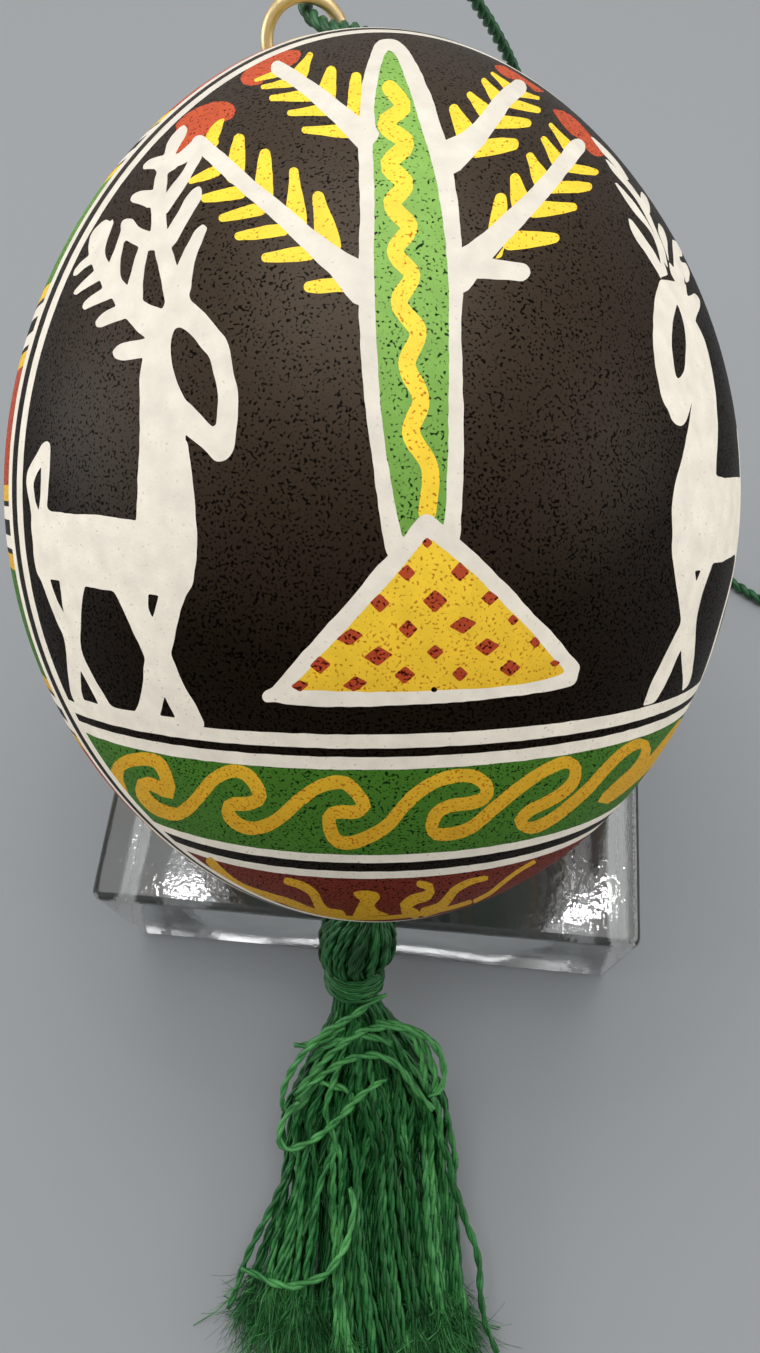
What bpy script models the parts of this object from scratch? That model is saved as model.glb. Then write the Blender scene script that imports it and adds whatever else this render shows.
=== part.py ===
"""Decorated egg with a thread tassel, resting tilted on a clear acrylic block.

The origin is the centre of the block's underside. +Z is up, -Y is the side where the tassel
hangs, and +Y is the side where the ring and the hanging cord leave the egg's upper end.
Sizes below are in millimetres, and the meshes are in metres.
"""
import math

import bmesh
import bpy
import numpy as np
from mathutils import Vector

MM = 0.001
GAP = 0.3

# Clear block with a shallow dish that seats the egg
BLOCK_SIDE = 45.0
BLOCK_HEIGHT = 16.0
BLOCK_CORNER = 0.9
BLOCK_ARRIS = 0.35
DISH_RADIUS = 12.0
DISH_DEPTH = 1.2
DISH_SEGMENTS = 48
DISH_RINGS = 7
DISH_CLEARANCE = 2.0

# Egg: a solid of revolution, blunter at the tassel end
EGG_LENGTH = 56.4
EGG_WIDTH = 47.0
EGG_TAPER = -0.025
EGG_FULLNESS = -0.064
EGG_CENTRE = Vector((-0.2, 0.7, 40.5))
EGG_RISE = math.radians(36.0)
EGG_TURN = math.radians(-4.5)
EGG_SEGMENTS = 64
EGG_RINGS = 34

# Jump ring: brass wire bent past one full turn, threaded on the cord
RING_CENTRE = Vector((-7.05, 28.45, 54.35))
RING_NORMAL = Vector((-0.164, 0.834, -0.526)).normalized()
RING_RADIUS = 2.5
RING_WIRE = 0.7
RING_TURNS = 1.3
RING_START = math.radians(-25.0)
RING_SPREAD = 0.45
RING_LIFT = -0.75
RING_STEPS = 44

# Tassel: a bundle of threads from the egg's lower end to the table in front of the block
TASSEL_PATH = (
    (1.35, -22.5, 23.2), (1.0, -23.3, 21.8), (0.5, -24.4, 20.0), (0.05, -25.6, 18.0),
    (0.0, -26.2, 17.0), (0.05, -28.2, 14.1), (0.3, -29.3, 12.6), (0.7, -32.0, 9.7),
    (1.2, -35.2, 7.1), (1.7, -39.6, 4.9), (2.0, -45.0, 3.3), (2.1, -50.5, 2.3),
    (2.2, -55.5, 1.8), (2.2, -58.0, 1.6),
)
TASSEL_HALF_WIDTH = (1.0, 2.5, 3.0, 2.6, 1.8, 1.8, 2.5, 4.6, 6.6, 7.5, 8.4, 9.7, 10.6, 10.7)
TASSEL_HALF_THICKNESS = (1.0, 2.3, 2.7, 2.4, 1.8, 1.8, 2.3, 2.7, 2.7, 2.5, 2.3, 2.0, 1.6, 1.35)
TASSEL_SIDES = 24
WRAP_OUTER = 2.45
WRAP_FIRST = 4
WRAP_LAST = 5
WRAP_SHARE = (0.12, 0.88)

# Hanging cord: out of the upper end, through the ring, over and down behind the egg
CORD_DIAMETER = 1.05
CORD_ROUTE = (
    (-2.03, 24.0, 57.5), (-2.7, 24.9, 57.3), (-3.8, 26.0, 56.8), (-5.2, 27.4, 56.1),
    (-6.3, 28.6, 55.85), (-7.0, 30.0, 55.7), (-7.4, 31.4, 55.9), (-7.2, 33.2, 56.4),
    (-5.9, 36.0, 57.2), (-3.6, 38.6, 56.8), (-0.8, 40.6, 55.0), (1.8, 42.4, 52.0),
    (3.9, 44.0, 48.2), (5.6, 46.0, 44.6), (7.2, 47.6, 41.0), (8.9, 49.2, 36.4),
    (11.0, 50.8, 29.5), (13.2, 51.6, 21.5), (15.6, 51.2, 13.5), (18.3, 49.2, 6.8),
    (21.3, 45.4, 2.4), (24.2, 40.6, 0.75), (26.5, 35.6, 0.6), (28.6, 30.4, 0.6),
    (31.2, 26.2, 0.6), (34.0, 22.9, 0.6), (36.5, 20.9, 0.6), (39.1, 19.2, 0.6),
    (42.6, 17.9, 0.6), (46.2, 18.8, 0.6), (48.4, 21.6, 0.6), (48.9, 25.2, 0.6),
)
CORD_STEP = 2.35
CURVE_SAMPLES = 24
KNOT_RADIUS = 1.15
KNOT_SIDES = 12
# Distance along the knot, and the share of its radius there; the last is the tail's end
KNOT_PROFILE = ((0.0, 0.5), (0.35, 0.85), (0.95, 1.0), (1.6, 0.85), (2.0, 0.5), (4.4, 0.42))

# Finishes: colour, roughness, metallic
FINISHES = {
    "acrylic": ((0.92, 0.95, 0.95, 0.35), 0.05, 0.0),
    "eggshell": ((0.05, 0.035, 0.028, 1.0), 0.4, 0.0),
    "brass": ((0.72, 0.55, 0.28, 1.0), 0.3, 1.0),
    "thread": ((0.02, 0.17, 0.06, 1.0), 0.8, 0.0),
    "cord": ((0.015, 0.10, 0.035, 1.0), 0.8, 0.0),
}


def clear_scene():
    """Remove the objects that a new file starts with."""
    for obj in list(bpy.data.objects):
        bpy.data.objects.remove(obj, do_unlink=True)


def finish(name):
    """Return the named Principled material, made once."""
    found = bpy.data.materials.get(name)
    if found:
        return found
    colour, roughness, metallic = FINISHES[name]
    material = bpy.data.materials.new(name)
    material.use_nodes = True
    shader = material.node_tree.nodes["Principled BSDF"]
    shader.inputs["Base Color"].default_value = colour
    shader.inputs["Roughness"].default_value = roughness
    shader.inputs["Metallic"].default_value = metallic
    material.diffuse_color = colour
    return material


def add_object(name, data, material):
    """Link an object that holds the mesh or curve, with its material."""
    obj = bpy.data.objects.new(name, data)
    data.materials.append(finish(material))
    bpy.context.scene.collection.objects.link(obj)
    return obj


def mesh_from(name, bm, sharp_angle=30.0):
    """Turn a bmesh into a smooth-shaded mesh whose faces point out."""
    bmesh.ops.recalc_face_normals(bm, faces=bm.faces)
    mesh = bpy.data.meshes.new(name)
    bm.to_mesh(mesh)
    bm.free()
    mesh.shade_smooth()
    mesh.set_sharp_from_angle(angle=math.radians(sharp_angle))
    return mesh


def loft(rings, closed_ends=True):
    """Skin a list of point rings of equal count, with flat end caps."""
    bm = bmesh.new()
    rows = [[bm.verts.new(Vector(p) * MM) for p in ring] for ring in rings]
    for low, high in zip(rows, rows[1:]):
        count = len(low)
        for i in range(count):
            j = (i + 1) % count
            bm.faces.new((low[i], low[j], high[j], high[i]))
    if closed_ends:
        bm.faces.new(rows[0])
        bm.faces.new(rows[-1])
    return bm


def smooth_curve(points, step):
    """Points on a centripetal Catmull-Rom curve through the route, evenly spaced."""
    route = [np.array(p, dtype=float) for p in points]
    ends = [2 * route[0] - route[1]] + route + [2 * route[-1] - route[-2]]
    fine = []
    for p0, p1, p2, p3 in zip(ends, ends[1:], ends[2:], ends[3:]):
        knots = [0.0]
        for a, b in ((p0, p1), (p1, p2), (p2, p3)):
            knots.append(knots[-1] + math.sqrt(np.linalg.norm(b - a)))
        t0, t1, t2, t3 = knots
        for t in np.linspace(t1, t2, CURVE_SAMPLES, endpoint=False):
            a1 = (t1 - t) / (t1 - t0) * p0 + (t - t0) / (t1 - t0) * p1
            a2 = (t2 - t) / (t2 - t1) * p1 + (t - t1) / (t2 - t1) * p2
            a3 = (t3 - t) / (t3 - t2) * p2 + (t - t2) / (t3 - t2) * p3
            b1 = (t2 - t) / (t2 - t0) * a1 + (t - t0) / (t2 - t0) * a2
            b2 = (t3 - t) / (t3 - t1) * a2 + (t - t1) / (t3 - t1) * a3
            fine.append((t2 - t) / (t2 - t1) * b1 + (t - t1) / (t2 - t1) * b2)
    fine.append(route[-1])
    fine = np.array(fine)
    lengths = np.concatenate([[0.0], np.cumsum(np.linalg.norm(np.diff(fine, axis=0), axis=1))])
    count = max(2, round(lengths[-1] / step) + 1)
    places = np.linspace(0.0, lengths[-1], count)
    return [Vector([float(np.interp(s, lengths, fine[:, k])) for k in range(3)]) for s in places]


def tube(name, points, diameter, material, resolution):
    """A round tube along the points: a bevelled poly curve with filled caps."""
    curve = bpy.data.curves.new(name, "CURVE")
    curve.dimensions = "3D"
    curve.bevel_depth = diameter / 2 * MM
    curve.bevel_resolution = resolution
    curve.use_fill_caps = True
    spline = curve.splines.new("POLY")
    spline.points.add(len(points) - 1)
    for slot, point in zip(spline.points, points):
        slot.co = (*(point * MM), 1.0)
    spline.use_smooth = True
    return add_object(name, curve, material)


def egg_axis():
    """Unit vector from the egg's centre to its upper, ring end."""
    return Vector((
        math.sin(EGG_TURN) * math.cos(EGG_RISE),
        math.cos(EGG_TURN) * math.cos(EGG_RISE),
        math.sin(EGG_RISE),
    ))


def egg_radius(t):
    """Radius of the shell at t, which runs from -1 at the tassel end to 1 at the ring end."""
    return EGG_WIDTH / 2 * math.sqrt(max(0.0, 1 - t * t)) * (1 + EGG_TAPER * t + EGG_FULLNESS * t * t)


def build_egg():
    """The whole shell, decorated later by colour only."""
    axis = egg_axis()
    side = Vector((0, 0, 1)).cross(axis).normalized()
    top = axis.cross(side)
    bm = bmesh.new()
    rows = []
    for k in range(1, EGG_RINGS):
        t = -math.cos(math.pi * k / EGG_RINGS)
        centre = EGG_CENTRE + axis * (EGG_LENGTH / 2 * t)
        radius = egg_radius(t)
        row = []
        for i in range(EGG_SEGMENTS):
            angle = 2 * math.pi * i / EGG_SEGMENTS
            outward = side * math.cos(angle) + top * math.sin(angle)
            row.append(bm.verts.new((centre + outward * radius) * MM))
        rows.append(row)
    low_pole = bm.verts.new((EGG_CENTRE - axis * EGG_LENGTH / 2) * MM)
    high_pole = bm.verts.new((EGG_CENTRE + axis * EGG_LENGTH / 2) * MM)
    for i in range(EGG_SEGMENTS):
        j = (i + 1) % EGG_SEGMENTS
        bm.faces.new((low_pole, rows[0][j], rows[0][i]))
        bm.faces.new((high_pole, rows[-1][i], rows[-1][j]))
        for low, high in zip(rows, rows[1:]):
            bm.faces.new((low[i], low[j], high[j], high[i]))
    return add_object("egg", mesh_from("egg", bm, 60.0), "eggshell")


def dish_cutter():
    """A turned plug whose underside is the dish, reaching above the block."""
    ball = (DISH_RADIUS ** 2 + DISH_DEPTH ** 2) / (2 * DISH_DEPTH)
    floor = BLOCK_HEIGHT - DISH_DEPTH
    profile = []
    for k in range(1, DISH_RINGS + 1):
        r = DISH_RADIUS * k / DISH_RINGS
        profile.append((r, floor + ball - math.sqrt(ball * ball - r * r)))
    profile.append((DISH_RADIUS, BLOCK_HEIGHT + DISH_CLEARANCE))
    rings = []
    angles = [2 * math.pi * i / DISH_SEGMENTS for i in range(DISH_SEGMENTS)]
    for r, z in profile:
        rings.append([(r * math.cos(a), r * math.sin(a), z) for a in angles])
    cutter = add_object("dish_cutter", mesh_from("dish_cutter", loft(rings)), "acrylic")
    cutter.hide_render = True
    cutter.display_type = "WIRE"
    return cutter


def build_block():
    """Clear square block, its corners and arrises polished round."""
    bm = bmesh.new()
    bmesh.ops.create_cube(bm, size=1.0)
    size = Vector((BLOCK_SIDE, BLOCK_SIDE, BLOCK_HEIGHT)) * MM
    for vert in bm.verts:
        vert.co = Vector(vert.co[k] * size[k] for k in range(3)) + Vector((0, 0, size.z / 2))
    upright = [e for e in bm.edges if abs(e.verts[0].co.z - e.verts[1].co.z) > size.z / 2]
    bmesh.ops.bevel(bm, geom=upright, offset=BLOCK_CORNER * MM, segments=3, affect="EDGES", profile=0.5)
    level = [e for e in bm.edges if abs(e.verts[0].co.z - e.verts[1].co.z) < size.z / 10]
    bmesh.ops.bevel(bm, geom=level, offset=BLOCK_ARRIS * MM, segments=2, affect="EDGES", profile=0.5)
    block = add_object("display_block", mesh_from("display_block", bm), "acrylic")
    cut = block.modifiers.new("dish", "BOOLEAN")
    cut.operation = "DIFFERENCE"
    cut.object = dish_cutter()
    return block


def build_ring():
    """Jump ring: the wire overlaps itself past one turn, side by side."""
    normal = RING_NORMAL
    across = normal.cross(Vector((0, 0, 1))).normalized()
    up = across.cross(normal)
    points = []
    for k in range(RING_STEPS + 1):
        turn = RING_TURNS * k / RING_STEPS
        angle = RING_START - 2 * math.pi * turn
        radius = RING_RADIUS + RING_SPREAD * turn
        flat = across * math.cos(angle) + up * math.sin(angle)
        points.append(RING_CENTRE + flat * radius + normal * (RING_LIFT * turn))
    return tube("hanging_ring", points, RING_WIRE, "brass", 1)


def tassel_frames():
    """Centre, sideways vector and thickness vector at each point of the tassel's path."""
    path = [Vector(p) for p in TASSEL_PATH]
    frames = []
    for k, centre in enumerate(path):
        along = (path[min(k + 1, len(path) - 1)] - path[max(k - 1, 0)]).normalized()
        side = Vector((1, 0, 0)) - along * along.x
        side.normalize()
        frames.append((centre, side, side.cross(along)))
    return frames


def oval(centre, side, thick, half_width, half_thickness):
    """Points of an ellipse in the plane of side and thick."""
    ring = []
    for i in range(TASSEL_SIDES):
        angle = 2 * math.pi * i / TASSEL_SIDES
        across = side * (half_width * math.cos(angle))
        ring.append(centre + across + thick * (half_thickness * math.sin(angle)))
    return ring


def build_tassel():
    """The bundle of threads as one soft solid, and the thread wrap round its neck."""
    frames = tassel_frames()
    sizes = zip(frames, TASSEL_HALF_WIDTH, TASSEL_HALF_THICKNESS)
    rings = [oval(*frame, width, thickness) for frame, width, thickness in sizes]
    add_object("tassel_threads", mesh_from("tassel_threads", loft(rings), 50.0), "thread")
    first = frames[WRAP_FIRST][0]
    last = frames[WRAP_LAST][0]
    along = (last - first).normalized()
    side = Vector((1, 0, 0)) - along * along.x
    side.normalize()
    thick = side.cross(along)
    inner = TASSEL_HALF_WIDTH[WRAP_FIRST] + GAP
    low, high = (first.lerp(last, share) for share in WRAP_SHARE)
    shell = []
    for centre, radius in ((low, inner), (low, WRAP_OUTER), (high, WRAP_OUTER), (high, inner)):
        shell.append(oval(centre, side, thick, radius, radius))
    shell.append(shell[0])
    bm = loft(shell, closed_ends=False)
    bmesh.ops.remove_doubles(bm, verts=bm.verts, dist=0.00001)
    add_object("tassel_wrap", mesh_from("tassel_wrap", bm), "thread")


def build_cord():
    """The hanging cord's tube, and the knot with its short tail at the far end."""
    points = smooth_curve(CORD_ROUTE, CORD_STEP)
    tube("hanging_cord", points, CORD_DIAMETER, "cord", 2)
    heading = (points[-1] - points[-2]).normalized()
    side = heading.cross(Vector((0, 0, 1))).normalized()
    up = Vector((0, 0, 1))
    start = points[-1] + heading * GAP
    start.z = max(start.z, KNOT_RADIUS)
    angles = [2 * math.pi * i / KNOT_SIDES for i in range(KNOT_SIDES)]
    rings = []
    for run, share in KNOT_PROFILE:
        centre = start + heading * run
        radius = KNOT_RADIUS * share
        rings.append([centre + (side * math.cos(a) + up * math.sin(a)) * radius for a in angles])
    add_object("cord_knot", mesh_from("cord_knot", loft(rings), 50.0), "cord")


def main():
    """Build every piece."""
    clear_scene()
    build_block()
    build_egg()
    build_ring()
    build_tassel()
    build_cord()


main()
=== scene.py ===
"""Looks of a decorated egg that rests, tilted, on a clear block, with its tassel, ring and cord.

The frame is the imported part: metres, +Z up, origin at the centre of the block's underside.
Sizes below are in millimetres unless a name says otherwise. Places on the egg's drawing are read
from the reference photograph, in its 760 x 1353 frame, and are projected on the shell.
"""
import logging
import math
from dataclasses import dataclass, field
from enum import IntEnum

import bmesh
import bpy
import numpy as np
from mathutils import Matrix, Vector, geometry, kdtree, noise


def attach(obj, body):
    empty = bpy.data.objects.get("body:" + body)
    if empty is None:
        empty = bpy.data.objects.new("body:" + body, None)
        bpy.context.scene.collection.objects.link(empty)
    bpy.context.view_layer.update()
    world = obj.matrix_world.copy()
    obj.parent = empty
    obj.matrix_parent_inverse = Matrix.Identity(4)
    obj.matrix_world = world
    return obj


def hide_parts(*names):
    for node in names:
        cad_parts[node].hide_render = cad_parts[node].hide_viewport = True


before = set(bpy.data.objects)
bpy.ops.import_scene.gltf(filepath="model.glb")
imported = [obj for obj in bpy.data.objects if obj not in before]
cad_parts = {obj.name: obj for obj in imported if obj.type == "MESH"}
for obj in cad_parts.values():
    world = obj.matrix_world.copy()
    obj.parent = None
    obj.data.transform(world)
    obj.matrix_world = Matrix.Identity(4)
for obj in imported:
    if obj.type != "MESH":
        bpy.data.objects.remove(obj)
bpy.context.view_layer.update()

logging.basicConfig(level=logging.INFO, format="%(name)s: %(message)s")
log = logging.getLogger("decorated_egg")

MM = 0.001
BODY = "root"
TONE = "thread_tone"
NOISE_SEED = 11
WORLD_UP = (0.0, 0.0, 1.0)
Pixel = tuple[float, float]
Outline = list[Pixel]
NodeTree = bpy.types.NodeTree
Node = bpy.types.Node
Socket = bpy.types.NodeSocket
Object = bpy.types.Object
Material = bpy.types.Material


class Dye(IntEnum):
    """The colours on the shell, which are also the slots of its material list."""

    SHELL = 0
    BLACK = 1
    GREEN = 2
    YELLOW = 3
    RED = 4
    RUST = 5
    CHECK = 6


def linear(hex_colour: str) -> tuple[float, float, float, float]:
    """Turn an sRGB hex colour into a linear RGBA value.

    Args:
        hex_colour: Six hex digits, with or without a leading hash.

    Returns:
        Linear red, green, blue and an alpha of 1.
    """
    digits = hex_colour.lstrip("#")
    parts = [int(digits[i:i + 2], 16) / 255 for i in (0, 2, 4)]
    values = [c / 12.92 if c <= 0.04045 else ((c + 0.055) / 1.055) ** 2.4 for c in parts]
    return (*values, 1.0)


def add_node(tree: NodeTree, kind: str, links: dict | None = None, values: dict | None = None,
             **settings) -> Node:
    """Add one shader node.

    Args:
        tree: The node tree that gets the node.
        kind: The node's type name.
        links: Input name or number, to the output socket that feeds it.
        values: Input name or number, to its own value.
        **settings: Attributes of the node itself.

    Returns:
        The new node.
    """
    node = tree.nodes.new(kind)
    for name, value in settings.items():
        setattr(node, name, value)
    for key, value in (values or {}).items():
        node.inputs[key].default_value = value
    for key, socket in (links or {}).items():
        tree.links.new(socket, node.inputs[key])
    return node


def new_material(name: str, values: dict) -> tuple[Material, NodeTree, Node]:
    """Start a material with one Principled shader.

    Args:
        name: The material's name.
        values: Shader input name, to a value that is the same all over.

    Returns:
        The material, its node tree and the Principled node.
    """
    material = bpy.data.materials.new(name)
    material.use_nodes = True
    shader = material.node_tree.nodes["Principled BSDF"]
    for key, value in values.items():
        shader.inputs[key].default_value = value
    return material, material.node_tree, shader


def ramp(tree: NodeTree, factor: Socket, stops: list[tuple[float, str]]) -> Node:
    """Add a colour ramp.

    Args:
        tree: The node tree that gets the ramp.
        factor: The socket that drives it.
        stops: Place and sRGB hex colour of each stop, in rising order.

    Returns:
        The ramp node.
    """
    node = add_node(tree, "ShaderNodeValToRGB", {0: factor})
    elements = node.color_ramp.elements
    while len(elements) < len(stops):
        elements.new(0.5)
    for element, (place, colour) in zip(elements, stops):
        element.position = place
        element.color = linear(colour)
    return node


def add_noise(tree: NodeTree, per_mm: float, detail: float, rough: float = 0.5) -> Socket:
    """Add a noise in the object's own space, with so many grains to the millimetre."""
    place = add_node(tree, "ShaderNodeTexCoord").outputs["Object"]
    return add_node(tree, "ShaderNodeTexNoise", {"Vector": place},
                    {"Scale": per_mm / MM, "Detail": detail, "Roughness": rough}).outputs["Fac"]


def add_height(tree: NodeTree) -> Socket:
    """Add the height above the block's foot, in metres."""
    place = add_node(tree, "ShaderNodeTexCoord").outputs["Object"]
    return add_node(tree, "ShaderNodeSeparateXYZ", {"Vector": place}).outputs["Z"]


def add_relief(tree: NodeTree, shader: Node, height: Socket, depth: float, strength: float) -> None:
    """Give a shader a relief with a depth in millimetres, which is sunken below zero."""
    bump = add_node(tree, "ShaderNodeBump", {"Height": height},
                    {"Strength": strength, "Distance": depth * MM})
    tree.links.new(bump.outputs[0], shader.inputs["Normal"])


@dataclass(frozen=True)
class ViewPoint:
    """The camera's place and turn, solved from the clear block's edges in the photograph."""

    place: tuple[float, float, float] = (5.893, -37.386, 96.118)
    forward: tuple[float, float, float] = (-0.07205, 0.41696, -0.90607)
    right: tuple[float, float, float] = (0.99478, 0.09587, -0.03499)
    down: tuple[float, float, float] = (0.07228, -0.90386, -0.42169)
    focal_px: float = 980.0
    width_px: float = 760.0
    height_px: float = 1353.0
    sensor: float = 36.0
    clip: tuple[float, float] = (0.002, 5.0)

    def ray(self, pixels: np.ndarray) -> np.ndarray:
        """Directions from the camera through pixels of the photograph, one row each."""
        centred = pixels - np.array([self.width_px, self.height_px]) / 2
        rays = (np.array(self.forward) * self.focal_px + centred[:, :1] * np.array(self.right)
                + centred[:, 1:] * np.array(self.down))
        return rays / np.linalg.norm(rays, axis=1, keepdims=True)

    def build(self) -> Object:
        """Make the camera and set it as the scene's.

        Returns:
            The camera object.
        """
        data = bpy.data.cameras.new("photo_camera")
        data.lens = self.focal_px * self.sensor / self.height_px
        data.sensor_width = self.sensor
        data.clip_start, data.clip_end = self.clip
        camera = link(bpy.data.objects.new("photo_camera", data))
        axes = (Vector(self.right), -Vector(self.down), -Vector(self.forward))
        turn = Matrix(axes).transposed().to_quaternion()
        camera.matrix_world = Matrix.LocRotScale(Vector(self.place) * MM, turn, None)
        bpy.context.scene.camera = camera
        return camera


@dataclass(frozen=True)
class EggForm:
    """The egg's shape: a turned profile about a rising axis, as the CAD node has it.

    A place on the shell is a longitude about the axis, in radians, and an arc length from the
    tassel pole, in millimetres.
    """

    length: float = 56.4
    width: float = 47.0
    taper: float = -0.025
    fullness: float = -0.064
    centre: tuple[float, float, float] = (-0.2, 0.7, 40.5)
    rise: float = math.radians(36.0)
    turn: float = math.radians(-4.5)
    steps: int = 4000
    search: tuple[float, float] = (20.0, 110.0)
    search_steps: int = 361
    halvings: int = 24

    def __post_init__(self) -> None:
        """Work out the axes and the table from arc length to place along the axis."""
        level = math.cos(self.rise)
        axis = np.array([math.sin(self.turn) * level, math.cos(self.turn) * level,
                         math.sin(self.rise)])
        side = np.cross(WORLD_UP, axis)
        side /= np.linalg.norm(side)
        along = -np.cos(np.linspace(0, math.pi, self.steps + 1))
        radius = self.radius_at(along)
        runs = np.hypot(np.diff(radius), np.diff(along) * self.length / 2)
        for name, value in (("axis", axis), ("side", side), ("top", np.cross(axis, side)),
                            ("along", along), ("radii", radius),
                            ("arcs", np.concatenate([[0.0], np.cumsum(runs)]))):
            object.__setattr__(self, name, value)

    @property
    def total(self) -> float:
        """Arc length from pole to pole."""
        return float(self.arcs[-1])

    def radius_at(self, t: np.ndarray) -> np.ndarray:
        """Shell radius at t, which runs from -1 at the tassel end to 1 at the ring end."""
        round_part = self.width / 2 * np.sqrt(np.maximum(1 - t * t, 0))
        return round_part * (1 + self.taper * t + self.fullness * t * t)

    def radius(self, arc: np.ndarray) -> np.ndarray:
        """Shell radius at an arc length."""
        return np.interp(arc, self.arcs, self.radii)

    def surface(self, turn: np.ndarray, arc: np.ndarray) -> np.ndarray:
        """Points on the shell, in millimetres, at longitudes and arc lengths."""
        t = np.interp(arc, self.arcs, self.along)[..., None]
        out = self.side * np.cos(turn)[..., None] + self.top * np.sin(turn)[..., None]
        middle = np.array(self.centre) + self.axis * (self.length / 2 * t)
        return middle + out * self.radius(arc)[..., None]

    def locate(self, points: np.ndarray) -> np.ndarray:
        """Longitude and arc length of points on or near the shell, one row each."""
        offset = points - np.array(self.centre)
        t = np.clip(offset @ self.axis / (self.length / 2), -1, 1)
        turn = np.arctan2(offset @ self.top, offset @ self.side)
        return np.stack([turn, np.interp(t, self.along, self.arcs)], axis=-1)

    def depth(self, points: np.ndarray) -> np.ndarray:
        """How far points lie inside the shell, measured square to the axis."""
        offset = points - np.array(self.centre)
        height = offset @ self.axis
        t = np.clip(height / (self.length / 2), -1, 1)
        spread = np.linalg.norm(offset - height[..., None] * self.axis, axis=-1)
        return self.radius_at(t) - spread - np.maximum(np.abs(height) - self.length / 2, 0)

    def normal(self, points: np.ndarray) -> np.ndarray:
        """Outward unit normals at points on the shell."""
        steps = 0.01 * np.eye(3)
        slopes = [self.depth(points - step) - self.depth(points + step) for step in steps]
        found = np.stack(slopes, axis=-1)
        return found / np.linalg.norm(found, axis=-1, keepdims=True)

    def hit(self, view: ViewPoint, pixels: np.ndarray) -> np.ndarray:
        """Where rays through pixels first meet the shell.

        Args:
            view: The camera's place.
            pixels: One row for each pixel of the photograph.

        Returns:
            Points on the shell. A ray that passes the outline gives the nearest point to it.
        """
        rays = view.ray(pixels)
        start = np.array(view.place)
        reach = np.linspace(*self.search, self.search_steps)
        inside = self.depth(start + reach[None, :, None] * rays[:, None, :])
        first = np.argmax(inside > 0, axis=1)
        missed = ~np.any(inside > 0, axis=1)
        near = reach[np.maximum(first - 1, 0)]
        far = reach[first]
        for _ in range(self.halvings):
            middle = (near + far) / 2
            deep = self.depth(start + middle[:, None] * rays) > 0
            far = np.where(deep, middle, far)
            near = np.where(deep, near, middle)
        closest = reach[np.argmax(inside, axis=1)]
        run = np.where(missed, closest, (near + far) / 2)
        return start + run[:, None] * rays


VIEW = ViewPoint()
EGG = EggForm()


def dense(outline: np.ndarray, step: float) -> np.ndarray:
    """Add points along a closed outline, so that each of its runs is at most a step long."""
    rows = []
    for start, end in zip(outline, np.roll(outline, -1, axis=0)):
        count = max(1, math.ceil(float(np.linalg.norm(end - start)) / step))
        rows.append(start + (end - start) * (np.arange(count) / count)[:, None])
    return np.vstack(rows)


def flowing(points: Outline | np.ndarray, step: float) -> np.ndarray:
    """Points a step apart on a centripetal Catmull-Rom curve through given points."""
    route = np.array(points, dtype=float)
    ends = np.vstack([2 * route[:1] - route[1:2], route, 2 * route[-1:] - route[-2:-1]])
    fine = []
    for p0, p1, p2, p3 in zip(ends, ends[1:], ends[2:], ends[3:]):
        gaps = [max(1e-6, math.sqrt(np.linalg.norm(b - a))) for a, b in ((p0, p1), (p1, p2), (p2, p3))]
        t0, t1, t2, t3 = np.concatenate([[0.0], np.cumsum(gaps)])
        t = np.linspace(t1, t2, 24, endpoint=False)[:, None]
        a1 = (t1 - t) / (t1 - t0) * p0 + (t - t0) / (t1 - t0) * p1
        a2 = (t2 - t) / (t2 - t1) * p1 + (t - t1) / (t2 - t1) * p2
        a3 = (t3 - t) / (t3 - t2) * p2 + (t - t2) / (t3 - t2) * p3
        b1 = (t2 - t) / (t2 - t0) * a1 + (t - t0) / (t2 - t0) * a2
        b2 = (t3 - t) / (t3 - t1) * a2 + (t - t1) / (t3 - t1) * a3
        fine.append((t2 - t) / (t2 - t1) * b1 + (t - t1) / (t2 - t1) * b2)
    return evenly(np.vstack([*fine, ends[-2:-1]]), step)


def evenly(line: np.ndarray, step: float) -> np.ndarray:
    """Resample a line so that its points are about a step apart."""
    lengths = np.concatenate([[0.0], np.cumsum(np.linalg.norm(np.diff(line, axis=0), axis=1))])
    places = np.linspace(0.0, lengths[-1], max(2, round(lengths[-1] / step) + 1))
    return np.stack([np.interp(places, lengths, column) for column in line.T], axis=1)


def softened(points: Outline, corner: float, sharp_from: float = math.radians(52)) -> np.ndarray:
    """Round an outline's corners as a wax pen does: widely where it turns little.

    Args:
        points: The outline's points.
        corner: How much of each side a sharp corner may lose, in the points' units.
        sharp_from: The least turn of a sharp corner, in radians.

    Returns:
        The rounded outline.
    """
    corners = np.array(points, dtype=float)
    rows = []
    for before, here, after in zip(np.roll(corners, 1, axis=0), corners, np.roll(corners, -1, axis=0)):
        back, ahead = before - here, after - here
        long_back, long_ahead = np.linalg.norm(back), np.linalg.norm(ahead)
        cosine = -float(back @ ahead) / max(1e-9, long_back * long_ahead)
        cut = 0.48 * min(long_back, long_ahead)
        if cosine < math.cos(sharp_from):
            cut = min(cut, corner)
        first, last = here + back * cut / long_back, here + ahead * cut / long_ahead
        for share in (0.0, 0.25, 0.5, 0.75, 1.0):
            rows.append((1 - share) ** 2 * first + 2 * share * (1 - share) * here + share ** 2 * last)
    return np.array(rows)


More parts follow.
